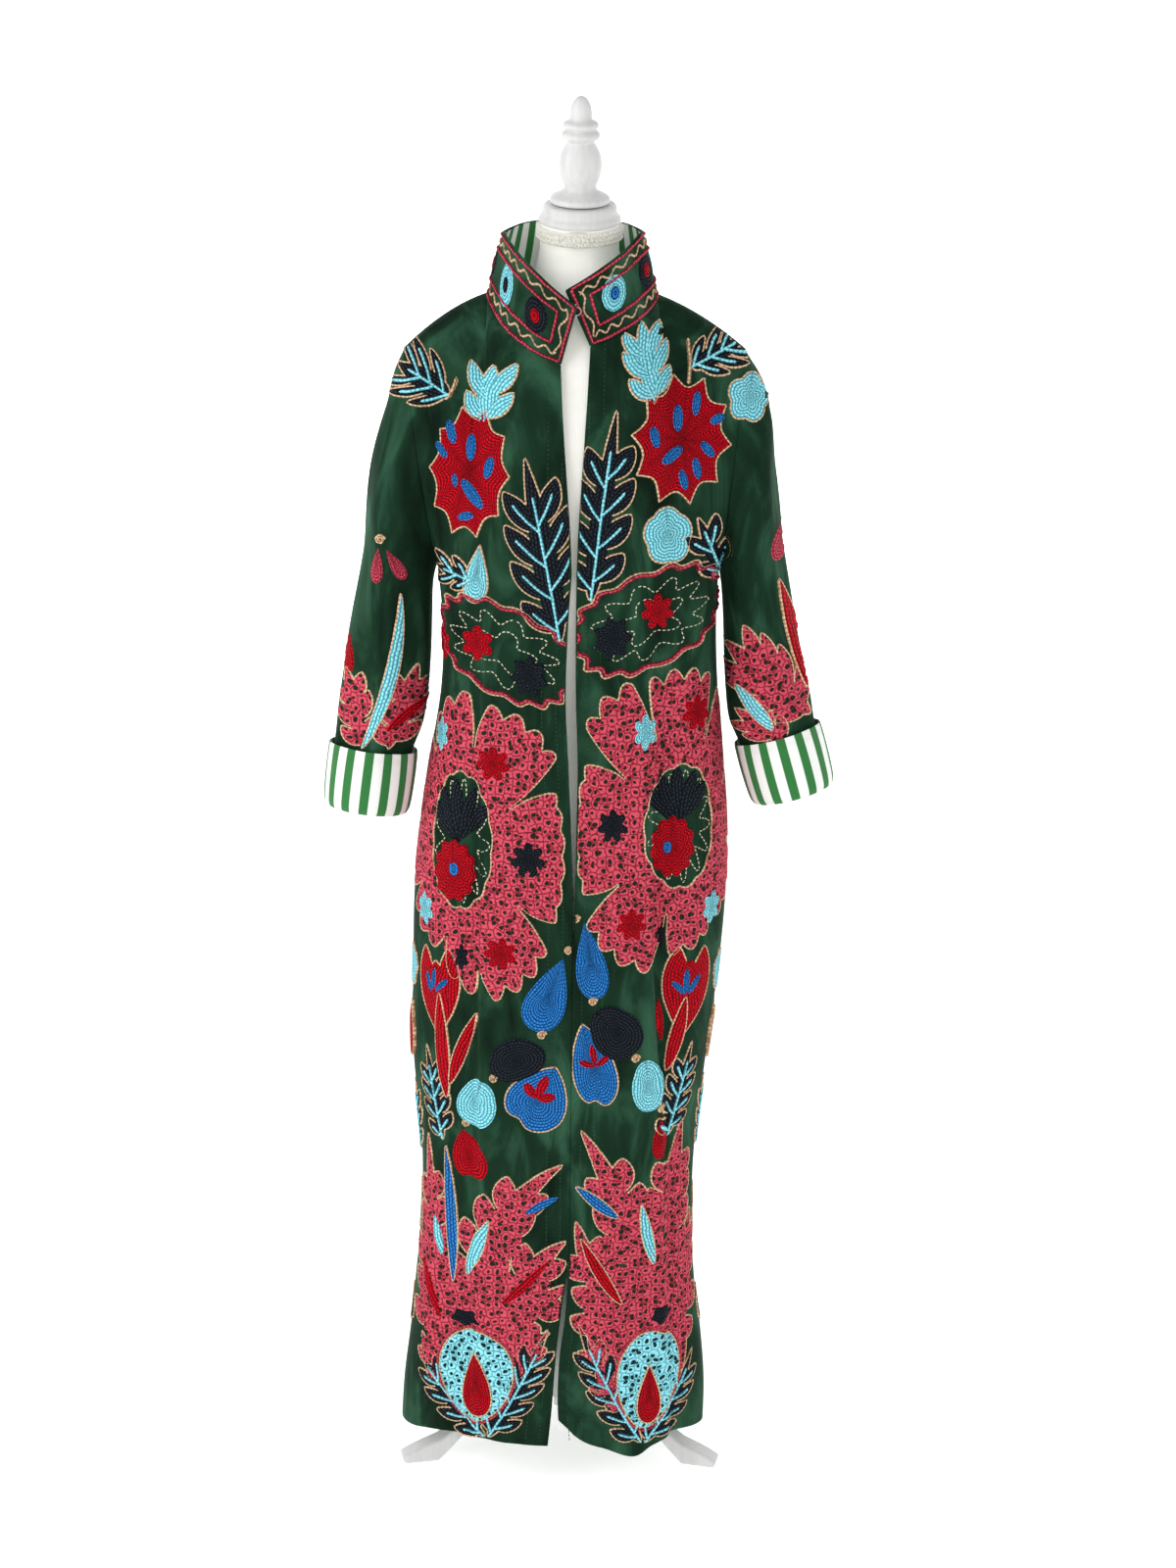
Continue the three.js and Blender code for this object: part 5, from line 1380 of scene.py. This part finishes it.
# ---------------- motifs
# Places and sizes in mm as seen from the front, x from the middle; turns in degrees, clockwise. Each entry
# is a kind with its thread and the thread of its edge, and then a row for each motif:
# leaf: x and z of the base, length, width, turn, pairs of lobes, bend
# pointed, petalled: x, z, width, height, turn, number, depth; star: the same without a depth
# drop, heart, dash, sprig, fan, calyx, dome: x, z, width, height, turn; dot: x, z, size
# blade: x and z of the base and of the tip, width, bend; cord: points
# cloud: x, z, width, height, turn, waves, depth; rosette: x, z, petals, the hole's x, z, width, height
# acanthus: x, z, arms of (x, z, length, width, turn, bend, pairs of lobes), the body's x, z, width, height
MOTIFS = dict(
    front_right=[
        ("leaf charcoal", (-143, 1312, 71, 76, -60, 3, 0)),
        ("leaf turquoise", (-104, 1283, 66, 62, 10, 2, 0)),
        ("cord tan", [(-144, 1311), (-137, 1324), (-135, 1333)]),
        ("pointed crimson tan", (-119, 1230, 92, 148, 4, 10, 0.18)),
        ("dash blue", (-140, 1273, 11, 27, -14), (-151, 1253, 9, 22, -32), (-117, 1257, 12, 30, 2),
         (-96, 1236, 11, 25, 14), (-115, 1206, 14, 39, -38), (-122, 1181, 10, 19, 78),
         (-135, 1220, 7, 15, -10)),
        ("leaf charcoal", (-15, 1045, 208, 84, -10, 4, -3)),
        ("drop turquoise tan", (-109, 1118, 30, 66, 6)),
        ("leaf charcoal", (-114, 1111, 46, 44, -78, 2, 0)),
        ("cloud", (-79, 1032, 166, 93, 24, 16, 0.08)),
        ("star crimson", (-108, 1039, 38, 41, 0, 6), (-160, 1031, 27, 38, 0, 6)),
        ("pointed charcoal", (-49, 1005, 46, 53, -20, 7, 0.32)),
        ("rosette", (-122, 806, [(-26, 4.5, 140, 176, 3, 110), (6, 48.5, 166, 146, 4, 112),
         (50.5, 136.5, 120, 138, 6, 70), (138.5, 172, 150, 190, 4, 94), (174, 189.5, 186, 150, 2, 155),
         (191.5, 226, 138, 112, 3, 118), (228, 276, 112, 104, 4, 84),
         (278, 332, 106, 132, 4, 80)], -5, 0, 77, 164)),
        ("fan charcoal", (-132, 840, 52, 70, 0)),
        ("petalled crimson", (-134, 770, 52, 75, 0, 11, 0.16)),
        ("dash blue", (-134, 772, 15, 20, 0)),
        ("star turquoise", (-160, 926, 28, 40, -5, 6)),
        ("star crimson", (-89, 902, 40, 41, 0, 7)),
        ("star charcoal", (-48, 793, 41, 42, 0, 7)),
        ("star crimson", (-79, 679, 39, 40, 10, 7)),
        ("star turquoise", (-176, 718, 28, 40, -8, 6)),
        ("star charcoal", (-125, 667, 17, 34, 0, 6)),
        ("calyx", (-156, 633, 54, 92, -3)),
        ("blade crimson", (-142, 489, -152, 620, 17, 6), (-139, 507, -106, 601, 15, 8)),
        ("dash blue", (-168, 630, 7, 25, -18), (-160, 635, 7, 27, 6), (-149, 629, 7, 23, 42)),
        ("drop blue", (-22, 632, 54, 96, 20)),
        ("dot tan", (0, 686, 10)),
        ("petalled charcoal", (-59, 549, 71, 53, -24, 3, 0.1)),
        ("dot tan", (-30, 582, 11)),
        ("heart blue tan", (-32, 504, 76, 85, 26)),
        ("sprig crimson", (-31, 514, 35, 35, 24)),
        ("petalled turquoise", (-106, 488, 48, 62, 14, 3, 0.08)),
        ("dot tan", (-86, 524, 10)),
        ("heart crimson", (-116, 420, 44, 63, -14)),
        ("dot tan", (-119, 460, 10)),
        ("blade blue", (-134, 254, -144, 427, 14, -6)),
        ("leaf charcoal", (-148, 434, 118, 44, -12, 4, 0)),
        ("acanthus", (-105, 140, [(-3, 59, 256, 74, -6, 62, 5), (26, 59, 150, 66, 12, 42, 3),
         (34, 44, 118, 54, 26, 36, 2), (24, 0, 92, 46, 30, 30, 2), (-19, 59, 244, 58, -24, 24, 5),
         (-30, 52, 158, 64, -28, 16, 3), (-38, 18, 106, 56, -34, 20, 2),
         (-36, -12, 66, 42, -40, 10, 2)], -2, -60, 118, 200)),
        ("blade turquoise", (-117, 266, -91, 344, 15, 6), (-148, 284, -160, 335, 11, 0)),
        ("blade crimson", (-149, 206, -176, 278, 11, 12), (-75, 238, -19, 296, 11, -8)),
        ("blade blue", (-48, 358, -8, 378, 10, 0)),
        ("pointed charcoal", (-119, 211, 40, 24, 0, 5, 0.3)),
        ("dome", (-105, 140, 90, 116, 0)),
        ("drop crimson tan", (-104, 130, 39, 83, -2)),
        ("leaf charcoal", (-94, 62, 134, 52, -49, 4, 16), (-90, 62, 162, 55, 31, 5, -10)),
        ("petalled turquoise tan", (-214, 640, 40, 52, 0, 5, 0.12)),
        ("drop crimson tan", (-212, 560, 34, 70, 8)),
        ("leaf charcoal", (-216, 400, 96, 50, 4, 3, 0)),
        ("drop blue tan", (-218, 330, 36, 62, 0)),
        ("petalled charcoal tan", (-228, 200, 44, 46, 0, 6, 0.14)),
    ],
    front_left=[
        ("leaf turquoise", (86, 1308, 92, 56, -10, 3, 0)),
        ("leaf charcoal", (128, 1347, 73, 58, 62, 3, 0)),
        ("cord tan", [(124, 1379), (127, 1351), (125, 1329)]),
        ("petalled turquoise tan", (194, 1315, 50, 56, 10, 5, 0.2)),
        ("pointed crimson tan", (118, 1269, 114, 146, 6, 10, 0.22)),
        ("dash blue", (113, 1292, 12, 29, 0), (134, 1308, 10, 27, 6), (158, 1291, 11, 18, 62),
         (87, 1272, 11, 24, -14), (107, 1252, 13, 28, 52), (147, 1258, 11, 22, -42),
         (120, 1225, 10, 23, -16), (135, 1237, 10, 24, -12)),
        ("leaf charcoal", (19, 1092, 211, 70, 6, 4, 2)),
        ("petalled turquoise tan", (104, 1164, 55, 64, -4, 5, 0.12)),
        ("leaf charcoal", (168, 1115, 75, 50, -24, 2, 0)),
        ("cloud", (87, 1070, 172, 99, -22, 16, 0.08)),
        ("pointed charcoal", (44, 1050, 48, 55, 10, 7, 0.32)),
        ("star crimson", (94, 1080, 37, 41, 0, 7)),
        ("rosette", (125, 826, [(-15, 16, 178, 178, 4, 108), (18, 58, 170, 130, 4, 106),
         (60, 106, 118, 110, 4, 84), (108, 157, 110, 128, 4, 84), (159, 186, 130, 152, 3, 96),
         (188, 227.5, 172, 148, 4, 103), (229.5, 313.5, 130, 132, 6, 92),
         (315.5, 344, 160, 184, 3, 90)], 2, 2, 88, 148)),
        ("fan charcoal", (121, 865, 56, 67, 0)),
        ("petalled crimson", (117, 805, 52, 74, 0, 11, 0.16)),
        ("dash blue", (111, 805, 14, 19, 0)),
        ("star turquoise", (83, 942, 26, 42, 0, 6)),
        ("star crimson", (144, 959, 40, 42, 0, 7)),
        ("star charcoal", (48, 834, 36, 40, 0, 7)),
        ("star crimson", (72, 717, 35, 39, 0, 7)),
        ("star turquoise", (172, 726, 30, 40, 8, 6)),
        ("star charcoal", (107, 699, 10, 32, 0, 6)),
        ("calyx", (141, 640, 64, 94, 6)),
        ("blade crimson", (116, 529, 138, 620, 17, -6), (110, 567, 105, 622, 8, 0)),
        ("dash blue", (129, 632, 8, 25, -44), (138, 640, 8, 30, 2), (148, 635, 8, 27, 34)),
        ("drop blue", (25, 674, 41, 96, -9)),
        ("dot tan", (8, 724, 10), (29, 624, 10)),
        ("petalled charcoal", (56, 585, 60, 73, -38, 3, 0.1)),
        ("heart blue tan", (30, 545, 53, 106, -14)),
        ("sprig crimson", (31, 554, 23, 32, -10)),
        ("petalled turquoise", (95, 516, 38, 67, -4, 3, 0.08)),
        ("dot tan", (80, 553, 10)),
        ("drop crimson", (111, 449, 19, 56, 0)),
        ("dot tan", (112, 485, 9)),
        ("leaf charcoal", (119, 445, 120, 44, 15, 4, 0)),
        ("acanthus", (103, 137, [(-4, 62, 280, 72, -2, -30, 5), (-24, 62, 164, 64, -34, 20, 3),
         (-32, 36, 102, 54, -40, 22, 2), (-34, 0, 80, 46, -40, 20, 2), (-28, -32, 62, 36, -46, 20, 2),
         (20, 88, 240, 68, -2, 12, 5), (26, 66, 140, 72, 10, 10, 3),
         (24, 30, 106, 54, 22, 0, 2)], -2, -56, 104, 196)),
        ("blade blue", (63, 353, 12, 392, 14, 0)),
        ("blade turquoise", (107, 287, 90, 367, 13, 4)),
        ("blade crimson", (69, 241, 19, 327, 14, 10)),
        ("pointed charcoal", (117, 219, 26, 28, 0, 5, 0.3)),
        ("dome", (103, 137, 75, 126, 3)),
        ("drop crimson tan", (104, 119, 32, 78, 0)),
        ("leaf charcoal", (96, 55, 179, 55, -31, 5, 10), (101, 54, 122, 50, 36, 4, -10)),
        ("petalled turquoise tan", (206, 640, 40, 52, 0, 5, 0.12)),
        ("drop crimson tan", (204, 560, 34, 70, -8)),
        ("leaf charcoal", (200, 410, 96, 50, -4, 3, 0)),
        ("drop blue tan", (202, 330, 36, 62, 0)),
        ("petalled charcoal tan", (210, 200, 44, 46, 0, 6, 0.14)),
    ],
    sleeve_right=[
        ("dot tan", (-221, 1150, 11)),
        ("drop loop", (-225, 1120, 16, 40, 4), (-204, 1122, 16, 40, -32)),
        ("blade turquoise", (-244, 905, -197, 1091, 14, -30)),
        ("leaf pink", (-242, 906, 96, 51, -13, 3, 0), (-214, 905, 107, 56, 19, 3, 0)),
        ("blade crimson", (-216, 928, -166, 966, 11, 10)),
        ("drop crimson", (-261, 1015, 16, 47, 0)),
    ],
    sleeve_left=[
        ("drop loop", (235, 1154, 22, 46, 10)),
        ("blade crimson", (272, 982, 233, 1111, 17, -6)),
        ("leaf pink", (277, 952, 131, 82, -50, 4, 0), (253, 921, 74, 49, -60, 3, 0)),
        ("blade turquoise", (232, 937, 188, 988, 16, 0)),
    ],
)


def tip_of(x, z, length, turn):
    return np.array([x + math.sin(math.radians(turn)) * length, z + math.cos(math.radians(turn)) * length])


def draw_blades(work, blades, thread, lift=0.0, gap=0.05):
    """Filled blades over one another, with tan chain stitch round the whole where it is free."""
    outlines = [np.concatenate([left, right[::-1]]) for left, right in blades]
    for number, (left, right) in enumerate(blades):
        strip(work, left, right, thread, lift + gap * (number % 5))
        outline_where_free(work, outlines[number], outlines[:number] + outlines[number + 1:])


def draw_leaf(work, thread, x, z, length, width, turn, lobes, bend):
    """A lobed leaf in tan outline, a charcoal one with turquoise veins along its blades' middles."""
    plump = {"charcoal": 1.15, "turquoise": 1.35, "pink": 1.4}[thread]
    blades = leaf_blades(x, z, length, width, turn, lobes, bend, plump)
    draw_blades(work, blades, thread)
    if thread == "charcoal":
        for number, (left, right) in enumerate(blades):
            middle = (left + right) / 2
            reach = len(middle) * (0.8 if number == 0 else 0.72)
            cord(work, middle[:max(3, int(reach))], "turquoise", radius=1.9, lift=1.2)


def draw_shape(work, outline, thread, edge="", lift=0.0):
    fill(work, outline, thread, lift=lift)
    if edge:
        cord(work, outline, edge, closed=True, lift=0.4 + lift)


def draw_dot(work, thread, x, z, size):
    """A knot of chain stitch: a spiral from the rim to the middle."""
    turn = np.linspace(0, 4 * np.pi, 60)
    radius = size / 2 * (1 - turn / (4 * np.pi) * 0.85)
    cord(work, np.column_stack([x + radius * np.cos(turn), z + radius * np.sin(turn)]), thread, radius=1.5,
         lift=0.9)


def draw_blade(work, thread, x, z, tip_x, tip_z, width, bend):
    length = math.hypot(tip_x - x, tip_z - z)
    turn = math.degrees(math.atan2(tip_x - x, tip_z - z)) - bend / 2
    left, right = blade(x, z, length, width, turn, bend, 0.9)
    strip(work, left, right, thread, 1.1)
    if width > 12:
        cord(work, np.concatenate([left, right[::-1]]), "tan", radius=1.1, closed=True, lift=1.2)


def heart(width, height):
    """A drop with a notch in its wide end: its radius dips about the lowest point."""
    angle = around(120)
    radius = 1 - 0.16 * np.exp(-((angle - np.pi * 1.08) / 0.24) ** 2)
    return oval(angle, width, height, radius) * np.stack([np.sin(angle / 2) ** 0.7 / 0.86, 1 + 0 * angle], -1)


def draw_sprig(work, thread, x, z, width, height, turn):
    """Three tongues from one point, the middle one the longest."""
    base = tip_of(x, z, -height * 0.35, turn)
    for swing, size in ((-58, 0.8), (0, 1.1), (58, 0.8)):
        strip(work, *blade(*base, height * size * 0.85, width * 0.34, turn + swing, 0, 1.2), thread, 1.1)


def draw_fan(work, thread, x, z, width, height, turn):
    """A fan of five tongues from its lower end."""
    base = tip_of(x, z, -height * 0.55, turn)
    for number in range(5):
        size = 1.1 - 0.07 * abs(number - 2)
        strip(work, *blade(*base, height * size, width * 0.3, turn + (number - 2) * 18, 0, 1.6), thread,
              0.12 * (number % 2))


def draw_cloud(work, x, z, width, height, turn, petals, depth):
    """A cloud band: a squared oval with waves along it, in a pink and a tan cord; a meander inside."""
    angle = around(400)

    def band(size, power, wave, waves):
        reach = size * (1 + wave * np.cos(waves * angle))
        flat = np.column_stack([signed_power(np.sin(angle), power) * reach * width / 2,
                                signed_power(np.cos(angle), power) * reach * height / 2])
        return place(flat, x, z, turn)

    cord(work, band(1.0, 0.8, depth * 0.6, petals), "loop", radius=2.2, closed=True, lift=0.8)
    cord(work, band(1.055, 0.8, depth * 0.6, petals), "tan", radius=1.3, closed=True)
    running(work, band(0.7, 0.9, 0.17, 11), "cream", closed=True)
    running(work, band(0.38, 0.9, 0.3, 5), "cream", closed=True)


EDGE_STRIP = 16            # mm along a front edge in which rosettes are squeezed
EDGE_SQUEEZE = 0.35


def draw_rosette(work, x, z, petals, hole_x, hole_z, hole_width, hole_height):
    """A large rosette of pink rings round an oval of bare velvet, both edged in tan.

    Petals that come close to the front edge are squeezed, so that they stop short of it.
    """
    outline = petal_ring(petals) + (x, z)
    off = outline[:, 0] * np.sign(x)
    outline[:, 0] = np.sign(x) * np.where(off < EDGE_STRIP, lerp(EDGE_STRIP, off, EDGE_SQUEEZE), off)
    hole = place(petalled(hole_width, hole_height, 13, 0.05), x + hole_x, z + hole_z, 0)
    fill(work, outline, "pink", inner=hole)
    cord(work, outline, "tan", closed=True)
    cord(work, hole, "tan", closed=True)
    angle = around(500)
    meander = oval(angle, hole_width, hole_height, 0.71 + 0.19 * np.sin(13 * angle))
    running(work, meander + (x + hole_x, z + hole_z), "cream", closed=True)


def draw_calyx(work, x, z, width, height, turn):
    """A tulip of three pointed blades that share a long foot."""
    base = tip_of(x, z, -height * 0.75, turn)
    blades = [blade(*base, height * size, width * wide, turn + swing, bend, 1.4)
              for swing, bend, size, wide in ((-20, 22, 1.22, 0.5), (20, -22, 1.22, 0.5), (0, 0, 1.02, 0.62))]
    draw_blades(work, blades, "crimson")


def draw_dome(work, x, z, width, height, turn):
    """An egg, wide end up, of turquoise rings between tan and pink edges."""
    angle = around(140)
    wide = 1 + 0.16 * np.cos(angle) - 0.1 * np.cos(angle) ** 2
    outline = np.column_stack([np.sin(angle) * width / 2 * wide, np.cos(angle) * height / 2])
    cord(work, place(outline * 1.06, x, z, turn), "loop", radius=1.4, closed=True, lift=1.2)
    draw_shape(work, place(outline, x, z, turn), "rings", "tan", lift=1.1)


def draw_acanthus(work, x, z, arms, body_x, body_z, body_width, body_height):
    """A spread of pink lobed leaves over a round body, in one tan outline."""
    blades = []
    for arm_x, arm_z, length, width, turn, bend, lobes in arms:
        blades += leaf_blades(x + arm_x, z + arm_z, length, width, turn, lobes, bend, 1.4)
    blades.append(blade(x + body_x, z + body_z, body_height, body_width, 0, 0, 0.9))
    draw_blades(work, blades, "pink", gap=0.03)


# Filled shapes: outline, numbers that all of them share, lift without and with an edge.
FILLED = dict(pointed=(pointed, (), 1.0, 0.0), petalled=(petalled, (), 1.0, 0.0),
              star=(petalled, (0.42,), 1.0, 0.0), dash=(petalled, (2, 0.08), 1.1, 0.0),
              drop=(teardrop, (), 0.0, 0.0), heart=(heart, (), 0.0, 0.0))
OTHERS = dict(leaf=draw_leaf, dot=draw_dot, blade=draw_blade, sprig=draw_sprig, fan=draw_fan,
              cloud=draw_cloud, rosette=draw_rosette, calyx=draw_calyx, dome=draw_dome,
              acanthus=draw_acanthus)


def drawn(name):
    """The embroidery of a table of motifs."""
    work = Work()
    for words, *rows in MOTIFS[name]:
        kind, *threads = words.split()
        for row in rows:
            if kind in FILLED:
                shape, shared, bare_lift, edged_lift = FILLED[kind]
                x, z, width, height, turn, *rest = row
                lift = 2.2 if words == "drop crimson tan" else edged_lift if threads[1:] else bare_lift
                draw_shape(work, place(shape(width, height, *rest, *shared), x, z, turn), *threads, lift=lift)
            elif kind == "cord":
                cord(work, rounded(row, 2, closed=False), *threads, radius=2.2, lift=0.9)
            else:
                OTHERS[kind](work, *threads, *row)
    return work


def sew(name, work, panel, on):
    """Turns flat embroidery into a mesh on a panel: each point goes to the cloth and out by its height.

    Faces that leave the cloth are dropped, and each face is turned to look away from the cloth.
    """
    flat, rows = np.concatenate(work.points), np.concatenate(work.rows)
    faces, threads = np.concatenate(work.faces), np.concatenate(work.threads)
    x, z = flat[:, 0] * panel["sign"], flat[:, 1]
    kept = np.clip(x, np.interp(z, panel["heights"], panel["least"]),
                   np.interp(z, panel["heights"], panel["most"]))
    out = unit(look_up(panel, panel["normals"], kept, z))
    there = look_up(panel, panel["there"], kept, z) > 0.99
    there &= (np.abs(kept - x) < 0.05) & (z > panel["bottom"]) & (z < panel["heights"][-1])
    points = look_up(panel, panel["table"], kept, z) + out * flat[:, 2:]
    keep = there[faces].all(1)
    faces, threads = faces[keep], threads[keep]
    a, b, c, d = (points[faces[:, i]] for i in range(4))
    wrong = ((np.cross(c - a, d - b) + np.cross(b - a, c - a)) * out[faces[:, 0]]).sum(1) < 0
    three = faces[:, 2] == faces[:, 3]
    faces = np.where((wrong & ~three)[:, None], faces[:, ::-1], faces)
    faces = np.where((wrong & three)[:, None], faces[:, [1, 0, 2, 2]], faces)
    used, numbers = np.unique(faces, return_inverse=True)
    piece = make_piece(name, points[used], numbers.reshape(faces.shape), THREAD_MATERIALS, threads,
                       rows[used], sharp=math.radians(75))
    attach(piece, "root")
    sewn_on.setdefault(on, []).append(piece)


def top_stitch(work, side):
    """Machine stitching up a front: one row close to its edge and one at the facing's edge."""
    z = np.arange(62, 1392, 6.0)
    edge = smooth(BODY, "z", np.minimum(z, UNDERARM_Z), side + "_edge")
    for inset in (11, 27):
        running(work, np.column_stack([edge + inset * SIGN[side], z]), "green", length=3.4, gap=1.6,
                width=0.45, height=0.4)


def collar_work(length):
    """The collar's bands: two pink cords along every edge with a bent cream cord between, and discs."""
    work = Work()
    tall, band = COLLAR_TALL, 18
    for left, low, high in ((2.2, 2.2, tall - 2), (band, 19, tall - band)):
        corners = [(left, low), (length - left, low), (length - left, high), (left, high)]
        cord(work, corners, "loop", radius=1.7, closed=True, lift=0.7)
    for low, high in ((2.2, 19), (tall - band, tall - 2)):
        x = np.linspace(8, length - 8, 900)
        bend = np.sin(x / 3.4 + 0.9 * np.sin(x / 17)) * 2.8
        cord(work, np.column_stack([x, (low + high) / 2 + bend]), "tan", radius=1.2)
    for x in (band / 2, length - band / 2):
        z = np.linspace(8, tall - 8, 60)
        cord(work, np.column_stack([x + 3 * np.sin(z / 5), z]), "tan", radius=1.2)
    for x, z, outer, middle, wide, high in COLLAR_DISCS:
        draw_shape(work, place(petalled(wide, high, 9, 0.03), x, z, 0), outer)
        draw_shape(work, place(petalled(wide * 0.4, high * 0.4, 7, 0.06), x, z, 0), middle, lift=1.0)
    return work


# The collar's discs: length from the wearer's right end, height, threads outside and inside, size.
COLLAR_DISCS = [
    (45, 35, "charcoal", "crimson", 36, 35), (105, 35, "turquoise", "charcoal", 30, 40),
    (163, 37, "charcoal", "crimson", 34, 35), (222, 37, "turquoise", "blue", 36, 36),
    (280, 37, "charcoal", "crimson", 36, 35), (338, 37, "turquoise", "blue", 36, 36),
    (392, 37, "turquoise", "charcoal", 32, 36), (444, 38, "charcoal", "crimson", 36, 36),
    (507, 41, "turquoise", "blue", 36, 36),
]

sewn_on = {}
for side in SIGN:
    name = "front_" + side
    work = drawn(name)
    top_stitch(work, side)
    sew(name + "_embroidery", work, half_panel(side, -1, bottom=40), name)
    for facing, word in ((-1, "_fore"), (1, "_rear")):
        sew(f"sleeve_{side}_embroidery{word}", drawn("sleeve_" + side), sleeve_panel(side, facing),
            "sleeve_" + side)
    sew("back_embroidery_" + side, drawn(name), half_panel(side, 1, bottom=50), "back")
panel = collar_panel()
sew("collar_embroidery", collar_work(panel["places"][-1]), panel, "collar")


# ---------------- cloth facts
def declare(name, closed=False):
    """Works out the cut size of a panel's own grid; nothing is done with it."""
    width, length = cut_size(grids[name], closed)


declare("front_right")
declare("front_left")
declare("back")
declare("sleeve_right", closed=True)
declare("sleeve_left", closed=True)
declare("collar")
for side in SIGN:
    rings = grids["cuff_" + side]
    flat = cut_size(rings.transpose(1, 0, 2), closed=True)[0], cut_size(rings, closed=True)[0] / 2

# ---------------- floor, backdrop and light
def stage_plane(name, corners, material):
    mesh = bpy.data.meshes.new(name)
    mesh.from_pydata(corners, [], [(0, 1, 2, 3)])
    mesh.materials.append(material)
    add_object(name, mesh)


FLOOR = surface("pale floor", Base_Color=linear("#f7f7f6"), Roughness=0.6,
                Emission_Color=linear("#ffffff"), Emission_Strength=0.5)
WALL_PAINT = surface("pale wall", Base_Color=linear("#fafafa"), Roughness=0.9,
                     Emission_Color=linear("#ffffff"), Emission_Strength=1.0)
stage_plane("floor", [(-7, -7, 0), (7, -7, 0), (7, 5.5, 0), (-7, 5.5, 0)], FLOOR)
stage_plane("backdrop", [(-7, 5.5, 0), (7, 5.5, 0), (7, 5.5, 6), (-7, 5.5, 6)], WALL_PAINT)


def area_light(name, at, towards, size, watts):
    data = bpy.data.lights.new(name, "AREA")
    data.shape = "RECTANGLE"
    data.size, data.size_y = size
    data.energy = watts
    light = add_object(name, data)
    direction = np.array(towards, float) - np.array(at, float)
    light.matrix_world = (Matrix.Translation(at)
                          @ Vector(direction).to_track_quat("-Z", "Y").to_matrix().to_4x4())


area_light("window", (-2.6, -1.6, 2.2), (0, 0, 0.9), (2.2, 2.6), 56)
area_light("front_soft", (0.9, -4.2, 2.6), (0, 0, 0.9), (2.6, 2.2), 28)
area_light("right_fill", (2.8, 0.2, 1.8), (0, 0, 0.9), (1.6, 2.4), 16)
world = bpy.data.worlds.new("room")
world.use_nodes = True
world.node_tree.nodes["Background"].inputs["Color"].default_value = (1, 1, 1, 1)
world.node_tree.nodes["Background"].inputs["Strength"].default_value = 0.52
scene.world = world
